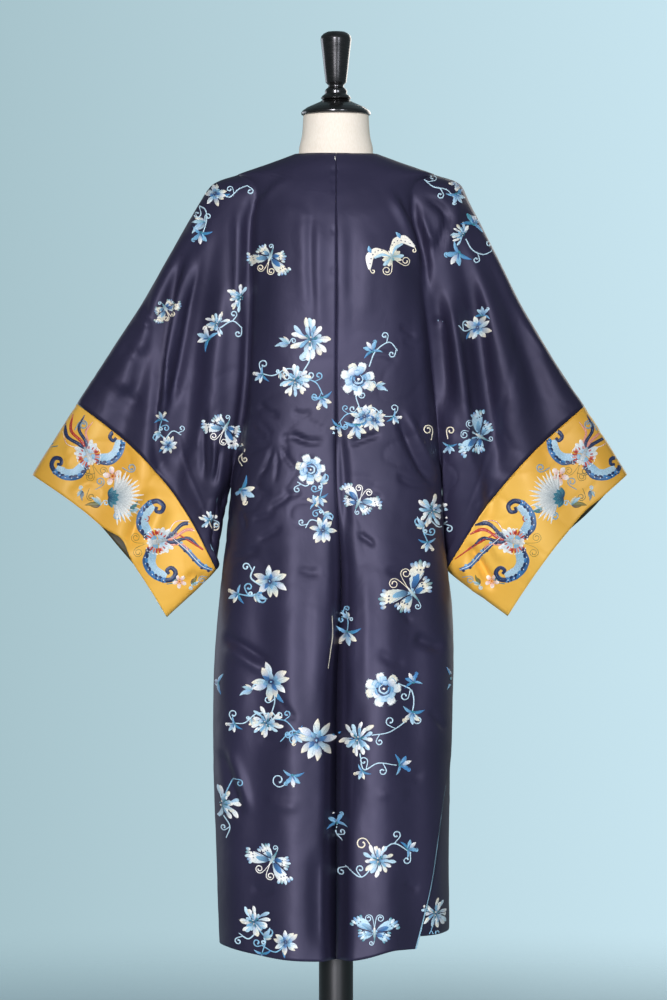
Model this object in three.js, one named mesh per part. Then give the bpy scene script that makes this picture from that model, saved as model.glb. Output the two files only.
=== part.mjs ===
// A satin robe in Chinese cut, with wide sleeve bands, hanging on a limbless dress form on a round stand.
// Millimetres, +Z up. The origin is the middle of the stand's flat underside, on the floor.
// The robe's front faces -Y and the wearer's left is +X.
import * as THREE from "three";

// ---- driving dimensions -------------------------------------------------------------------------------
const WALL = 1.6; // thickness of the satin and its lining together
const SEAM = 0.3; // gap left between pieces that are sewn together
const NECK_HALF = 63; // half width of the neck hole at the shoulder line
const NECK_TOP = 1452; // height of the shoulder line at the neck
const NECK_BACK = 1449; // height of the neck edge at the centre back
const NECK_FRONT = 1392; // height of the neck edge at the centre front
const SHOULDER_SLOPE = 0.362; // fall of the shoulder line for each mm outward
const ARMHOLE_TOP = 1420; // height at which the shoulder line passes into the sleeve
const UNDERARM = 935; // height of the underarm point
const SLIT_TOP = 540; // height at which the side seams open into slits
const HEM_CENTRE = 218; // height of the back hem at the centre
const HEM_SIDE = 234; // height of the back hem at the side slits
const HEM_FRONT = 246; // height of the front hem
const FRONT_OPENING = 1.2; // half of the gap between the two front edges
const FACING_WALL = 1.1; // thickness of the slit facings
const FACING_PROUD = 2.0; // how far a facing shows past the edge of its panel
const FACING_WIDTH = 16; // width of a slit facing
const FACING_CLEAR = 0.6; // gap between a panel and its facing
const LAP_CLEAR = 1.2; // the same on the right front, which bends more where it laps under
const POLE_RADIUS = 26.5;
const BASE_RADIUS = 185;
const BASE_THICK = 16;

// Body sections by height: half widths of the two sides, depths behind and in front of the middle,
// how square the section is (2 is an ellipse) and the depth of the valley where the sleeve begins.
const BODY_COLUMNS = ["z", "left", "right", "back", "front", "square", "valley"];
const BODY_ROWS = [
  [200, 179, 177, 148, 142, 2.7, 0],
  [420, 187, 177, 142, 140, 2.7, 0],
  [590, 190, 180, 134, 138, 2.7, 0],
  [670, 188, 182, 129, 136, 2.7, 0],
  [750, 182, 180, 122, 134, 2.7, 0],
  [840, 172, 169, 115, 131, 2.7, 0],
  [935, 163, 164, 109, 128, 2.7, 1],
  [1000, 155, 160, 107, 127, 2.7, 30],
  [1071, 148, 155, 107, 127, 2.7, 46],
  [1150, 141, 149, 109, 128, 2.7, 54],
  [1226, 137, 144, 111, 127, 2.7, 57],
  [1300, 136, 139, 110, 118, 2.6, 58],
  [1350, 137, 136, 103, 108, 2.5, 57],
  [1380, 139, 134, 94, 98, 2.4, 54],
  [1403, 143, 138, 84, 88, 2.3, 45],
  [1413, 148, 146, 78, 82, 2.25, 30],
  [1420, 151.4, 151.4, 74, 77, 2.2, 1],
  [1436, 107.2, 107.2, 66, 69, 2.1, 1],
  [1452, 63, 63, 54, 56, 2.05, 1],
];

// Sleeve rings by place along the sleeve: 0 at the armhole, 1 at the band seam. The top fold and the
// underarm seam are given as distance out from the middle and height, with half of the sleeve's depth,
// the bow of the ring towards the body, and how far the ring's middle lies behind the shoulder line.
const SLEEVE_COLUMNS = ["t", "topOut", "topZ", "lowOut", "lowZ", "half", "bow", "mid"];
const SLEEVE_ROWS = {
  left: [
    [0, 151.4, 1420, 163, 935, 50, 14, 0],
    [0.14, 191, 1405, 170, 908, 50, 15, 0],
    [0.22, 212, 1376, 174, 897, 49, 16, -1],
    [0.4, 257, 1297, 179, 874, 46, 19, -2],
    [0.6, 304, 1216, 184, 850, 42, 22, -4],
    [0.8, 355, 1138, 187, 828, 38, 25, -6],
    [1, 402, 1066, 188, 808, 34, 27, -8],
    [1.37, 471, 955, 262, 734, 30, 24, -8],
  ],
  right: [
    [0, 151.4, 1420, 164, 935, 50, 12, 0],
    [0.14, 192, 1405, 172, 908, 50, 12, 0],
    [0.22, 207, 1376, 176, 897, 49, 12, -1],
    [0.4, 248, 1297, 180, 874, 46, 13, -2],
    [0.6, 288, 1217, 183, 850, 42, 15, -4],
    [0.8, 335, 1138, 184, 828, 38, 17, -6],
    [1, 385, 1062, 184, 808, 34, 18, -8],
    [1.37, 452, 956, 267, 735, 30, 15, -8],
  ],
};
const SEAM_SHARE_TOP = 0.001; // the seam gap as a share of a sleeve's length, at the top fold
const SEAM_SHARE_LOW = 0.007; // and at the underarm seam
const PIECING = 0.6; // place of the seam that pieces out the sleeve
const BAND_SEAM = 1; // place of the seam between sleeve and band
const BAND_EDGE = 1.37; // place of the band's free edge
const SQUARE_SLEEVE = 2.5; // how square the sleeve's flattened section is

// Where the slit edges lie round the body, as shares of a quarter turn from the centre back.
const SLIT_COLUMNS = ["z", "backLeft", "frontLeft", "backRight", "frontRight"];
const SLIT_ROWS = [
  [200, 1.2, 1.26, 0.36, 0.3],
  [225, 1.19, 1.25, 0.39, 0.33],
  [284, 1.17, 1.22, 0.48, 0.41],
  [336, 1.15, 1.195, 0.56, 0.5],
  [412, 1.11, 1.15, 0.655, 0.62],
  [477, 1.06, 1.09, 0.76, 0.79],
  [540, 1, 1, 1, 1],
];
const UNDERLAP = 0.055; // share by which the right front lies inside the back where it laps under it

// The largest folds of the body: distance out from the middle, width of the fold, height at which it
// starts, height over which it grows, and its full depth (a ridge is positive, a trough negative).
const FOLD_COLUMNS = ["out", "width", "starts", "fade", "deep"];
const BACK_FOLDS = {
  left: [
    [0, 15, 1040, 640, -40],
    [62, 26, 1120, 700, 9],
    [118, 22, 1010, 500, -9],
  ],
  right: [
    [0, 15, 1040, 640, -40],
    [58, 24, 1120, 700, 9],
    [112, 24, 900, 500, -8],
  ],
};
const FRONT_FOLDS = {
  left: [
    [48, 26, 1180, 800, 8],
    [108, 22, 1050, 700, -9],
  ],
  right: [
    [52, 24, 1180, 800, 9],
    [104, 22, 1020, 700, -8],
  ],
};
// The largest folds of the sleeves fan out from the shoulder, at these angles from straight down.
const SLEEVE_FOLD_COLUMNS = ["angle", "spread", "deep"];
const SLEEVE_FOLDS = [
  [0, 3.4, 7],
  [6.5, 3, -6],
  [13.5, 3.2, 8],
  [20, 3, -6],
  [26, 3, 4],
];
const FAN_OUT = 185; // distance out of the point from which the folds fan
const FAN_Z = 1425; // its height
const SLOPE_STEP = 1.5; // steps over which a surface's slope is taken: height,
const TURN_STEP = 0.01; // angle round the body
const PLACE_STEP = 0.006; // and place on a sleeve

// Heights of the section rows, from the hem to the shoulder line.
const SKIRT_STEPS = [0, 0.2, 0.4, 0.6, 0.8, 1]; // from hem to slit top
const FACING_STEPS = [0.8, 0.6, 0.4, 0.2, 0]; // from below the slit top to the hem
const WAIST_ROWS = [620, 700, 780, 860, 935]; // from slit top to underarm
const CHEST_ROWS = [962, 992, 1030, 1075, 1125, 1175, 1225, 1275, 1320, 1358, 1388, 1404, 1413];
const NECK_STEPS = [0.35, 0.72, 1]; // from the armhole top to the neck edge
// Columns of a panel, as shares of its angle from the centre to its side edge.
const COLUMNS = [0, 0.008, 0.022, 0.045, 0.09, 0.16, 0.27, 0.4, 0.54, 0.68, 0.81, 0.91, 0.965, 1];

const material = (color, roughness, metalness = 0) =>
  new THREE.MeshStandardMaterial({ color, roughness, metalness });
const AUBERGINE_SATIN = material(0x2b2740, 0.35);
const GOLD_SATIN = material(0xe0a534, 0.35);
const BLUE_SILK = material(0x8fb4c4, 0.5);
const CREAM_JERSEY = material(0xefe6d6, 0.85);
const BLACK_LACQUER = material(0x161616, 0.3);
const DARK_PAINT = material(0x262729, 0.55);

// The pieces of a sleeve with the places of their rings.
const SLEEVE_PIECES = [
  ["sleeve_upper", [0, 0.06, 0.13, 0.21, 0.32, 0.45, PIECING], AUBERGINE_SATIN],
  ["sleeve_lower", [PIECING, 0.7, 0.8, 0.9, BAND_SEAM], AUBERGINE_SATIN],
  ["band", [BAND_SEAM, 1.12, 1.25, BAND_EDGE], GOLD_SATIN],
];

const group = new THREE.Group();

// ---- small helpers ------------------------------------------------------------------------------------
const table = (columns, rows) =>
  rows.map((row) => Object.fromEntries(columns.map((name, i) => [name, row[i]])));

// Smooth value of one column at one place of a table whose first column rises.
function at(rows, key, place, column) {
  const last = rows.length - 1;
  const x = Math.min(Math.max(place, rows[0][key]), rows[last][key]);
  let i = 0;
  while (i < last - 1 && x > rows[i + 1][key]) i += 1;
  const slope = (k) => {
    const a = rows[Math.max(k - 1, 0)];
    const b = rows[Math.min(k + 1, last)];
    return (b[column] - a[column]) / (b[key] - a[key]);
  };
  const span = rows[i + 1][key] - rows[i][key];
  const s = (x - rows[i][key]) / span;
  const rise = rows[i + 1][column] - rows[i][column];
  const curved =
    rows[i][column] +
    s * s * (3 - 2 * s) * rise +
    span * s * (1 - s) * ((1 - s) * slope(i) - s * slope(i + 1));
  return curved;
}
const clamp01 = (x) => Math.min(Math.max(x, 0), 1);
const ease = (a, b, x) => {
  const s = clamp01((x - a) / (b - a));
  return s * s * (3 - 2 * s);
};
const mix = (a, b, s) => a + (b - a) * s;
const bell = (x, width) => Math.exp(-((x / width) ** 2));

const BODY = table(BODY_COLUMNS, BODY_ROWS);
const SLIT = table(SLIT_COLUMNS, SLIT_ROWS);
const SLEEVE = { left: table(SLEEVE_COLUMNS, SLEEVE_ROWS.left), right: table(SLEEVE_COLUMNS, SLEEVE_ROWS.right) };
const folds = (rows) => table(FOLD_COLUMNS, rows);
const FOLDS = {
  back: { left: folds(BACK_FOLDS.left), right: folds(BACK_FOLDS.right) },
  front: { left: folds(FRONT_FOLDS.left), right: folds(FRONT_FOLDS.right) },
};
const FAN = table(SLEEVE_FOLD_COLUMNS, SLEEVE_FOLDS);
const capital = (word) => word[0].toUpperCase() + word.slice(1);

// A spot on a surface: its point, and the unit way into the garment, from two crossing directions.
function spot(surface, a, b, stepA, stepB, flip) {
  const across = surface(a, b + stepB).sub(surface(a, b - stepB));
  const down = surface(a + stepA, b).sub(surface(a - stepA, b));
  const way = across.cross(down).normalize();
  return { point: surface(a, b), way: flip ? way.negate() : way };
}

// A closed wall from a grid of spots on the garment's outer face. `around` closes the grid on itself,
// `flip` turns the faces over and `inset` moves the whole wall inward.
function wall(name, grid, thickness, finish, { around = false, flip = false, inset = 0 } = {}) {
  const rows = grid.length;
  const columns = grid[0].length;
  const layer = (depth) =>
    grid.flat().flatMap(({ point, way }) => point.clone().addScaledVector(way, depth).toArray());
  const position = [...layer(inset), ...layer(inset + thickness)];
  const count = rows * columns;
  const index = [];
  const quad = (a, b, c, d) => {
    if (flip) index.push(a, c, b, a, d, c);
    else index.push(a, b, c, a, c, d);
  };
  const id = (i, j) => i * columns + (j % columns);
  const spans = around ? columns : columns - 1;
  for (let i = 0; i < rows - 1; i += 1) {
    for (let j = 0; j < spans; j += 1) {
      const [a, b, c, d] = [id(i, j), id(i + 1, j), id(i + 1, j + 1), id(i, j + 1)];
      quad(a, b, c, d);
      quad(count + a, count + d, count + c, count + b);
    }
  }
  for (let j = 0; j < spans; j += 1) {
    const [a, b] = [id(0, j), id(0, j + 1)];
    quad(a, b, count + b, count + a);
    const [c, d] = [id(rows - 1, j), id(rows - 1, j + 1)];
    quad(d, c, count + c, count + d);
  }
  if (!around) {
    for (let i = 0; i < rows - 1; i += 1) {
      const [a, b] = [id(i, 0), id(i + 1, 0)];
      quad(b, a, count + a, count + b);
      const [c, d] = [id(i, columns - 1), id(i + 1, columns - 1)];
      quad(c, d, count + d, count + c);
    }
  }
  const geometry = new THREE.BufferGeometry();
  geometry.setAttribute("position", new THREE.Float32BufferAttribute(position, 3));
  geometry.setIndex(index);
  const mesh = new THREE.Mesh(geometry, finish);
  mesh.name = name;
  group.add(mesh);
}

// ---- the robe's body ----------------------------------------------------------------------------------
// Half width of the closed sections between the armhole top and the neck.
const shoulderHalf = (z) => NECK_HALF + (NECK_TOP - z) / SHOULDER_SLOPE;

// Sizes of the body's section at one height.
function section(side, z) {
  return {
    half: z > ARMHOLE_TOP ? shoulderHalf(z) : at(BODY, "z", z, side),
    back: at(BODY, "z", z, "back"),
    front: at(BODY, "z", z, "front"),
    square: at(BODY, "z", z, "square"),
  };
}

// A point of the robe's outer face: `turn` is the angle from the centre back round to the centre front.
function bodyPoint(side, turn, z) {
  const sign = side === "left" ? 1 : -1;
  const { half, back, front, square } = section(side, z);
  const behind = Math.cos(turn) >= 0;
  const power = 2 / square;
  const out = half * Math.abs(Math.sin(turn)) ** power;
  const depth = (behind ? back : front) * Math.abs(Math.cos(turn)) ** power;
  let push = 0;
  for (const fold of FOLDS[behind ? "back" : "front"][side]) {
    const grow = ease(fold.starts, fold.starts - fold.fade, z);
    push += fold.deep * grow * bell(out - fold.out, fold.width) * Math.abs(Math.cos(turn)) ** 0.5;
  }
  return new THREE.Vector3(sign * out, (behind ? 1 : -1) * (depth + push), z);
}

// Angle at which a section reaches the given depth, counted from its own centre.
function turnAtDepth(face, side, z, depth) {
  const sizes = section(side, z);
  return Math.acos(clamp01(depth / sizes[face]) ** (sizes.square / 2));
}

// Angle of a panel's side edge at one height: shoulder line, sleeve valley, side seam or slit.
function edgeTurn(face, side, z) {
  const fromBack = (turn) => (face === "back" ? turn : Math.PI - turn);
  if (z >= ARMHOLE_TOP) return fromBack(turnAtDepth(face, side, z, SEAM / 2));
  if (z > UNDERARM) return fromBack(turnAtDepth(face, side, z, at(BODY, "z", z, "valley")));
  if (z >= SLIT_TOP) return fromBack(turnAtDepth(face, side, z, SEAM / 2));
  const share = at(SLIT, "z", z, face + capital(side));
  return (share * Math.PI) / 2;
}

// A panel's outer face, with the right front drawn in where it laps under the back below the slit's top.
function panelSurface(face, side) {
  return (z, turn) => {
    const p = bodyPoint(side, turn, z);
    if (face === "front" && side === "right") {
      const draw = UNDERLAP * ease(SLIT_TOP, SLIT_TOP - 60, z) * ease(1.95, 1.45, turn);
      p.x *= 1 - draw;
      p.y *= 1 - draw;
    }
    return p;
  };
}

// Heights of a panel's rows at one share of the way from its centre to its side, from the neck down.
function panelHeights(face, share) {
  const neckCentre = face === "back" ? NECK_BACK : NECK_FRONT;
  const neck = mix(neckCentre, NECK_TOP, 1 - Math.cos((share * Math.PI) / 2));
  const hemCentre = face === "back" ? HEM_CENTRE : HEM_FRONT;
  const hemSide = face === "back" ? HEM_SIDE : HEM_FRONT + 6;
  const hem = mix(hemCentre, hemSide, ease(0, 0.7, share));
  const low = CHEST_ROWS[CHEST_ROWS.length - 4];
  const drop = face === "back" ? 0 : (1 - ease(0, 1, share)) * (NECK_TOP - NECK_FRONT);
  const settle = (z) => z - drop * ease(low - 160, NECK_TOP, z);
  return [
    ...SKIRT_STEPS.map((s) => mix(hem, SLIT_TOP, s)),
    ...WAIST_ROWS,
    ...CHEST_ROWS.map(settle),
    settle(ARMHOLE_TOP),
    ...NECK_STEPS.map((s) => mix(settle(ARMHOLE_TOP), neck, s)),
  ].reverse();
}

const isFlipped = (face, side) => (face === "back") === (side === "left");

function panel(face, side) {
  const flip = isFlipped(face, side);
  const surface = panelSurface(face, side);
  const start = face === "back" ? 0 : Math.PI;
  const clear = (side === "left" ? 1 : -1) * (face === "back" ? SEAM / 2 : FRONT_OPENING);
  const grid = panelHeights(face, 1).map((sideHeight, i) =>
    COLUMNS.map((share) => {
      const z = panelHeights(face, share)[i];
      const turn = mix(start, edgeTurn(face, side, sideHeight), share);
      const place = spot(surface, z, turn, SLOPE_STEP, TURN_STEP, side === "right");
      place.point.x += clear * (1 - share) ** 4;
      if (share === 0) place.way.x = 0;
      return place;
    }),
  );
  wall(`${face}_${side}`, grid, WALL, AUBERGINE_SATIN, { flip });
}

// A narrow strip inside a slit edge, showing a little past it towards the hem.
function slitFacing(face, side) {
  const sign = face === "back" ? 1 : -1;
  const hem = panelHeights(face, 1).at(-1);
  const flip = isFlipped(face, side);
  const surface = panelSurface(face, side);
  const grid = FACING_STEPS.map((s) => {
    const z = mix(hem, SLIT_TOP, s);
    const end = edgeTurn(face, side, z);
    const reach = section(side, z).half;
    const proud = FACING_PROUD * (1 - s);
    return [-FACING_WIDTH, -FACING_WIDTH / 2, 0, proud].map((d) =>
      spot(surface, z, end + (sign * d) / reach, SLOPE_STEP, TURN_STEP, side === "right"),
    );
  });
  const inset = WALL + (face === "front" && side === "right" ? LAP_CLEAR : FACING_CLEAR);
  wall(`slit_facing_${face}_${side}`, grid, FACING_WALL, BLUE_SILK, { flip, inset });
}

// ---- the sleeves --------------------------------------------------------------------------------------
const RING_HEIGHTS = [ARMHOLE_TOP, ...[...CHEST_ROWS].reverse(), UNDERARM];
const DOWN = RING_HEIGHTS.map((z) => (ARMHOLE_TOP - z) / (ARMHOLE_TOP - UNDERARM));

// Fold depth on a sleeve, from the angle about the shoulder; it grows away from the shoulder.
function fanDepth(out, z, mirror) {
  const dx = out - FAN_OUT;
  const dz = FAN_Z - z;
  const angle = (Math.atan2(dx, dz) * 180) / Math.PI;
  const reach = ease(40, 260, Math.hypot(dx, dz));
  return FAN.reduce((sum, fold) => sum + fold.deep * reach * bell(angle - fold.angle - mirror, fold.spread), 0);
}

// A point on a sleeve's outer face: `t` along it, `down` from the top fold to the underarm seam.
function sleevePoint(side, face, t, down) {
  const sign = side === "left" ? 1 : -1;
  const rows = SLEEVE[side];
  const get = (column) => at(rows, "t", t, column);
  const span = { x: get("lowOut") - get("topOut"), z: get("lowZ") - get("topZ") };
  const length = Math.hypot(span.x, span.z);
  const bow = get("bow") * Math.sin(Math.PI * down);
  const out = get("topOut") + span.x * down + (bow * span.z) / length;
  const z = get("topZ") + span.z * down - (bow * span.x) / length;
  const round = (1 - Math.abs(2 * down - 1) ** SQUARE_SLEEVE) ** (1 / SQUARE_SLEEVE);
  const behind = face === "back" ? 1 : -1;
  const fold = fanDepth(out, z, face === "back" ? 0 : 2) * round * ease(0.05, 0.4, t);
  return new THREE.Vector3(sign * out, get("mid") + behind * (get("half") * round + fold), z);
}

// The armhole's own points, taken from the side edges of the body's panels.
function armholePoint(side, face, z) {
  const p = bodyPoint(side, edgeTurn(face, side, z), z);
  if (z >= ARMHOLE_TOP || z <= UNDERARM) p.y = 0;
  return p;
}

const RING = [...DOWN, ...DOWN.slice(1, -1).map((down) => 2 - down).reverse()];

// The sleeve's outer face: `t` along it, and `around` from the top fold over the back to the underarm
// seam at 1 and over the front to the top fold again at 2. It starts at the edges of the body's panels.
function sleeveSurface(side) {
  const sign = side === "left" ? 1 : -1;
  return (t, around) => {
    const a = (around + 2) % 2;
    const face = a <= 1 ? "back" : "front";
    const down = a <= 1 ? a : 2 - a;
    const z = ARMHOLE_TOP - down * (ARMHOLE_TOP - UNDERARM);
    const start = armholePoint(side, face, z);
    start.x += sign * 2 * SEAM;
    const join = 1 - ease(0, 0.45, t);
    const p = sleevePoint(side, face, t, down);
    return p.addScaledVector(start.sub(sleevePoint(side, face, 0, down)), join);
  };
}

// Where a sleeve piece ends, short of the next one. The underarm seam is much shorter than the top fold,
// so the same gap takes a larger share of it.
function beforeSeam(t, around) {
  const down = around <= 1 ? around : 2 - around;
  return t - mix(SEAM_SHARE_TOP, SEAM_SHARE_LOW, down);
}

function sleevePiece(name, side, places, finish) {
  const flip = side === "right";
  const surface = sleeveSurface(side);
  const last = places.length - 1;
  const sewn = places[last] < BAND_EDGE;
  const grid = places.map((t, i) =>
    RING.map((a) => spot(surface, sewn && i === last ? beforeSeam(t, a) : t, a, PLACE_STEP, PLACE_STEP, flip)),
  );
  wall(name, grid, WALL, finish, { around: true, flip });
}

// ---- the dress form and its stand ---------------------------------------------------------------------
const FORM_COLUMNS = ["z", "half", "depth"];
const FORM_DROP = 3.1; // how far the form's shoulder line lies under the robe's
const NECK_RING = 1449; // height at which the form's neck meets its shoulders
const FORM_ROWS = [
  [709, 80, 50],
  [716, 110, 68],
  [732, 131, 79],
  [765, 144, 86],
  [805, 150, 90],
  [855, 152, 92],
  [905, 149, 90],
  [955, 139, 86],
  [1005, 125, 80],
  [1050, 117, 76],
  [1100, 122, 80],
  [1150, 132, 86],
  [1200, 139, 89],
  [1250, 142, 88],
  [1300, 147, 82],
  [1340, 154, 72],
  [1365, 162, 62],
  [1384, 169, 50],
  [1396, 172, 40],
  [1404, 167, 26],
];
const SHOULDER_RINGS = [
  [1411, 24],
  [1420, 35],
  [1432, 47],
  [1442, 47.5],
];
const NECK_ROWS = [
  [NECK_RING, 60.6, 46],
  [1462, 57, 47],
  [1482, 52.6, 48],
  [1511.5, 50.6, 49],
];
const FORM_SIDES = 28;

function torso() {
  const shoulders = SHOULDER_RINGS.map(([z, depth]) => [z, shoulderHalf(z + FORM_DROP), depth]);
  const rows = table(FORM_COLUMNS, [...FORM_ROWS, ...shoulders, ...NECK_ROWS]);
  const position = [];
  rows.forEach(({ z, half, depth }) => {
    for (let j = 0; j < FORM_SIDES; j += 1) {
      const turn = (2 * Math.PI * j) / FORM_SIDES;
      position.push(half * Math.sin(turn), depth * Math.cos(turn), z);
    }
  });
  const bottom = position.length / 3;
  position.push(0, 0, rows[0].z);
  position.push(0, 0, rows[rows.length - 1].z);
  const index = [];
  for (let i = 0; i < rows.length - 1; i += 1) {
    for (let j = 0; j < FORM_SIDES; j += 1) {
      const a = i * FORM_SIDES + j;
      const b = i * FORM_SIDES + ((j + 1) % FORM_SIDES);
      index.push(a, a + FORM_SIDES, b, b, a + FORM_SIDES, b + FORM_SIDES);
    }
  }
  const last = (rows.length - 1) * FORM_SIDES;
  for (let j = 0; j < FORM_SIDES; j += 1) {
    const k = (j + 1) % FORM_SIDES;
    index.push(bottom, j, k);
    index.push(bottom + 1, last + k, last + j);
  }
  const geometry = new THREE.BufferGeometry();
  geometry.setAttribute("position", new THREE.Float32BufferAttribute(position, 3));
  geometry.setIndex(index);
  const mesh = new THREE.Mesh(geometry, CREAM_JERSEY);
  mesh.name = "form_torso";
  group.add(mesh);
}

// A turned piece: its profile runs from the axis at the bottom to the axis at the top.
function turned(name, profile, finish, sides = 24) {
  const geometry = new THREE.LatheGeometry(profile.map(([r, z]) => new THREE.Vector2(r, z)), sides);
  geometry.rotateX(Math.PI / 2);
  const mesh = new THREE.Mesh(geometry, finish);
  mesh.name = name;
  group.add(mesh);
}

function dressForm() {
  torso();
  const capLow = 1511.5 + SEAM;
  turned("form_cap", [
    [0, capLow], [51, capLow], [53.6, capLow + 1.4], [54, capLow + 4], [52, capLow + 7],
    [45, capLow + 12], [34, capLow + 17], [25, capLow + 21], [20, capLow + 24.5], [0, capLow + 24.5],
  ], BLACK_LACQUER);
  const low = capLow + 24.5 + SEAM;
  turned("form_finial", [
    [0, low], [21.5, low], [23.6, low + 2], [21, low + 5.5], [17, low + 8.5], [17.4, low + 13],
    [15.5, low + 16], [12, low + 19], [12, low + 22], [16.2, low + 26.5], [18.6, low + 46],
    [21.4, low + 72], [24, low + 93], [23, low + 98], [19, low + 102], [14, low + 104.5], [0, low + 104.5],
  ], BLACK_LACQUER);
  const footHeight = BASE_THICK + 26;
  turned("stand_pole", [
    [0, footHeight + SEAM], [POLE_RADIUS, footHeight + SEAM],
    [POLE_RADIUS, FORM_ROWS[0][0] - SEAM], [0, FORM_ROWS[0][0] - SEAM],
  ], DARK_PAINT);
  turned("stand_base", [
    [0, 0], [BASE_RADIUS - 3, 0], [BASE_RADIUS, 3], [BASE_RADIUS, BASE_THICK - 5],
    [BASE_RADIUS - 5, BASE_THICK], [60, BASE_THICK + 4], [40, BASE_THICK + 12],
    [34, footHeight], [0, footHeight],
  ], DARK_PAINT, 40);
}

// ---- the whole object ---------------------------------------------------------------------------------
for (const side of ["left", "right"]) {
  panel("back", side);
  panel("front", side);
  slitFacing("back", side);
  slitFacing("front", side);
  for (const [piece, places, finish] of SLEEVE_PIECES) {
    const [start, end] = piece.split("_");
    sleevePiece([start, side, end].filter(Boolean).join("_"), side, places, finish);
  }
}
dressForm();

export default group;
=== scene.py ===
"""An embroidered satin robe in Chinese cut, on a limbless dress form with a turned cap and finial."""

from math import cos, pi, radians, sin

import bmesh
import bpy
import numpy as np
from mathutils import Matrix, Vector, noise
from mathutils.bvhtree import BVHTree


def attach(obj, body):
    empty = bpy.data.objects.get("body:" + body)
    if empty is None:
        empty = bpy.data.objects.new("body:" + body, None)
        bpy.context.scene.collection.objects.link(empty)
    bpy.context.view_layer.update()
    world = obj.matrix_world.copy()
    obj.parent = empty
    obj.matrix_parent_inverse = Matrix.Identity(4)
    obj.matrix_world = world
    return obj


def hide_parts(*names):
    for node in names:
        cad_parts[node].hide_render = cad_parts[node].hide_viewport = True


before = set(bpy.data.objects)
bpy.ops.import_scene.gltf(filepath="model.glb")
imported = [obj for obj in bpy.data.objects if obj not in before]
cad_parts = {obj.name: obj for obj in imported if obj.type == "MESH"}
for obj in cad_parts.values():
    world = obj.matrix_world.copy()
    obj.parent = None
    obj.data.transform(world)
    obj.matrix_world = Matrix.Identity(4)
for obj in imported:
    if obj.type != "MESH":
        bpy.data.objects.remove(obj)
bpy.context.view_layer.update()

# ---- sizes of the cut and of the hang, in millimetres ---------------------------------------------------
MM = 0.001
SIDES = {"left": 1, "right": -1}
NECK_HALF = 63  # half width of the neck hole at the shoulder line
NECK_TOP = 1452  # height of the shoulder line at the neck
NECK_BACK = 1449  # height of the neck edge at the centre back
NECK_FRONT = 1392  # height of the neck edge at the centre front
SHOULDER_SLOPE = 0.362  # fall of the shoulder line for each mm outward
ARMHOLE_TOP = 1420  # height at which the shoulder line passes into the sleeve
UNDERARM = 935  # height of the underarm point
SLIT_TOP = 540  # height at which the side seams open into slits
HEM_CENTRE = 218  # height of the back hem at the centre
HEM_SIDE = 234  # height of the back hem at the side slits
HEM_FRONT = 246  # height of the front hem at the centre
HEM_FRONT_SIDE = 252  # height of the front hem at the side slits
FRONT_OPENING = 1.2  # half of the gap between the two front edges
CENTRE_SEAM = 0.15  # half of the gap along the centre back seam
CLOTH = 1.3  # thickness of satin and lining
WELD = 0.04  # points of two panels that lie this close are one point
STRIP = 0.9  # thickness of the strips along the slits
UNDERARM_SWING = {"left": 0, "right": 24}  # how far the underarm seam hangs forward, past the body
VALLEY_DROP = 0.2  # share by which the valley behind the right armhole lies deeper than the left one
VALLEY_GROWS = (1240, 1140)  # heights between which that depth comes
VALLEY_ENDS = (970, 1050)  # heights between which it goes again
SEAM_SWING = 8  # how far the centre back seam swings to the wearer's right below the waist
SWING_AT = 790  # height of that swing
SWING_TALL = 110  # how far it reaches up and down
SWING_WIDE = 60  # how far the cloth beside the seam goes with it
UNDERLAP = 0.04  # share by which the right front lies inside the back where it laps under it
LAP_GROWS = 60  # height over which the lap begins, under the slit's top
LAP_TURNS = (1.75, 1.25)  # angles round the body between which it grows
YOKE_LOW = 1160  # height under which the front's rows of cloth lie level
FAN_OUT = 185  # distance out of the point on the shoulder from which the sleeve's folds fan
FAN_Z = 1425  # its height
SQUARE_SLEEVE = 2.5  # how square the sleeve's flattened section is
PIECING = 0.6  # place along the sleeve of the seam that pieces it out
BAND_SEAM = 1.0  # place of the seam between sleeve and band
BAND_EDGE = 1.37  # place of the band's free edge


def named(columns, rows):
    """A table as one array for each named column."""
    return {name: np.array(values, float) for name, values in zip(columns.split(), zip(*rows))}


# Body sections by height: half widths of the two sides, depths behind and in front of the middle,
# how square the section is (2 is an ellipse) and the depth of the valley where the sleeve begins.
BODY = named("z left right back front square valley", [
    (200, 179, 177, 148, 142, 2.7, 0),
    (420, 187, 177, 142, 140, 2.7, 0),
    (590, 190, 180, 134, 138, 2.7, 0),
    (670, 188, 182, 129, 136, 2.7, 0),
    (750, 182, 180, 122, 134, 2.7, 0),
    (840, 172, 169, 115, 131, 2.7, 0),
    (935, 163, 164, 109, 128, 2.7, 1),
    (1000, 155, 160, 107, 127, 2.7, 30),
    (1071, 148, 155, 107, 127, 2.7, 46),
    (1150, 141, 149, 109, 128, 2.7, 54),
    (1226, 137, 144, 111, 127, 2.7, 57),
    (1300, 136, 139, 110, 118, 2.6, 58),
    (1350, 137, 136, 103, 108, 2.5, 57),
    (1380, 139, 134, 94, 98, 2.4, 54),
    (1403, 143, 138, 84, 88, 2.3, 45),
    (1413, 148, 146, 78, 82, 2.25, 30),
    (1420, 151.4, 151.4, 74, 77, 2.2, 1),
    (1436, 107.2, 107.2, 66, 69, 2.1, 1),
    (1452, 63, 63, 54, 56, 2.05, 1),
])
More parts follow.
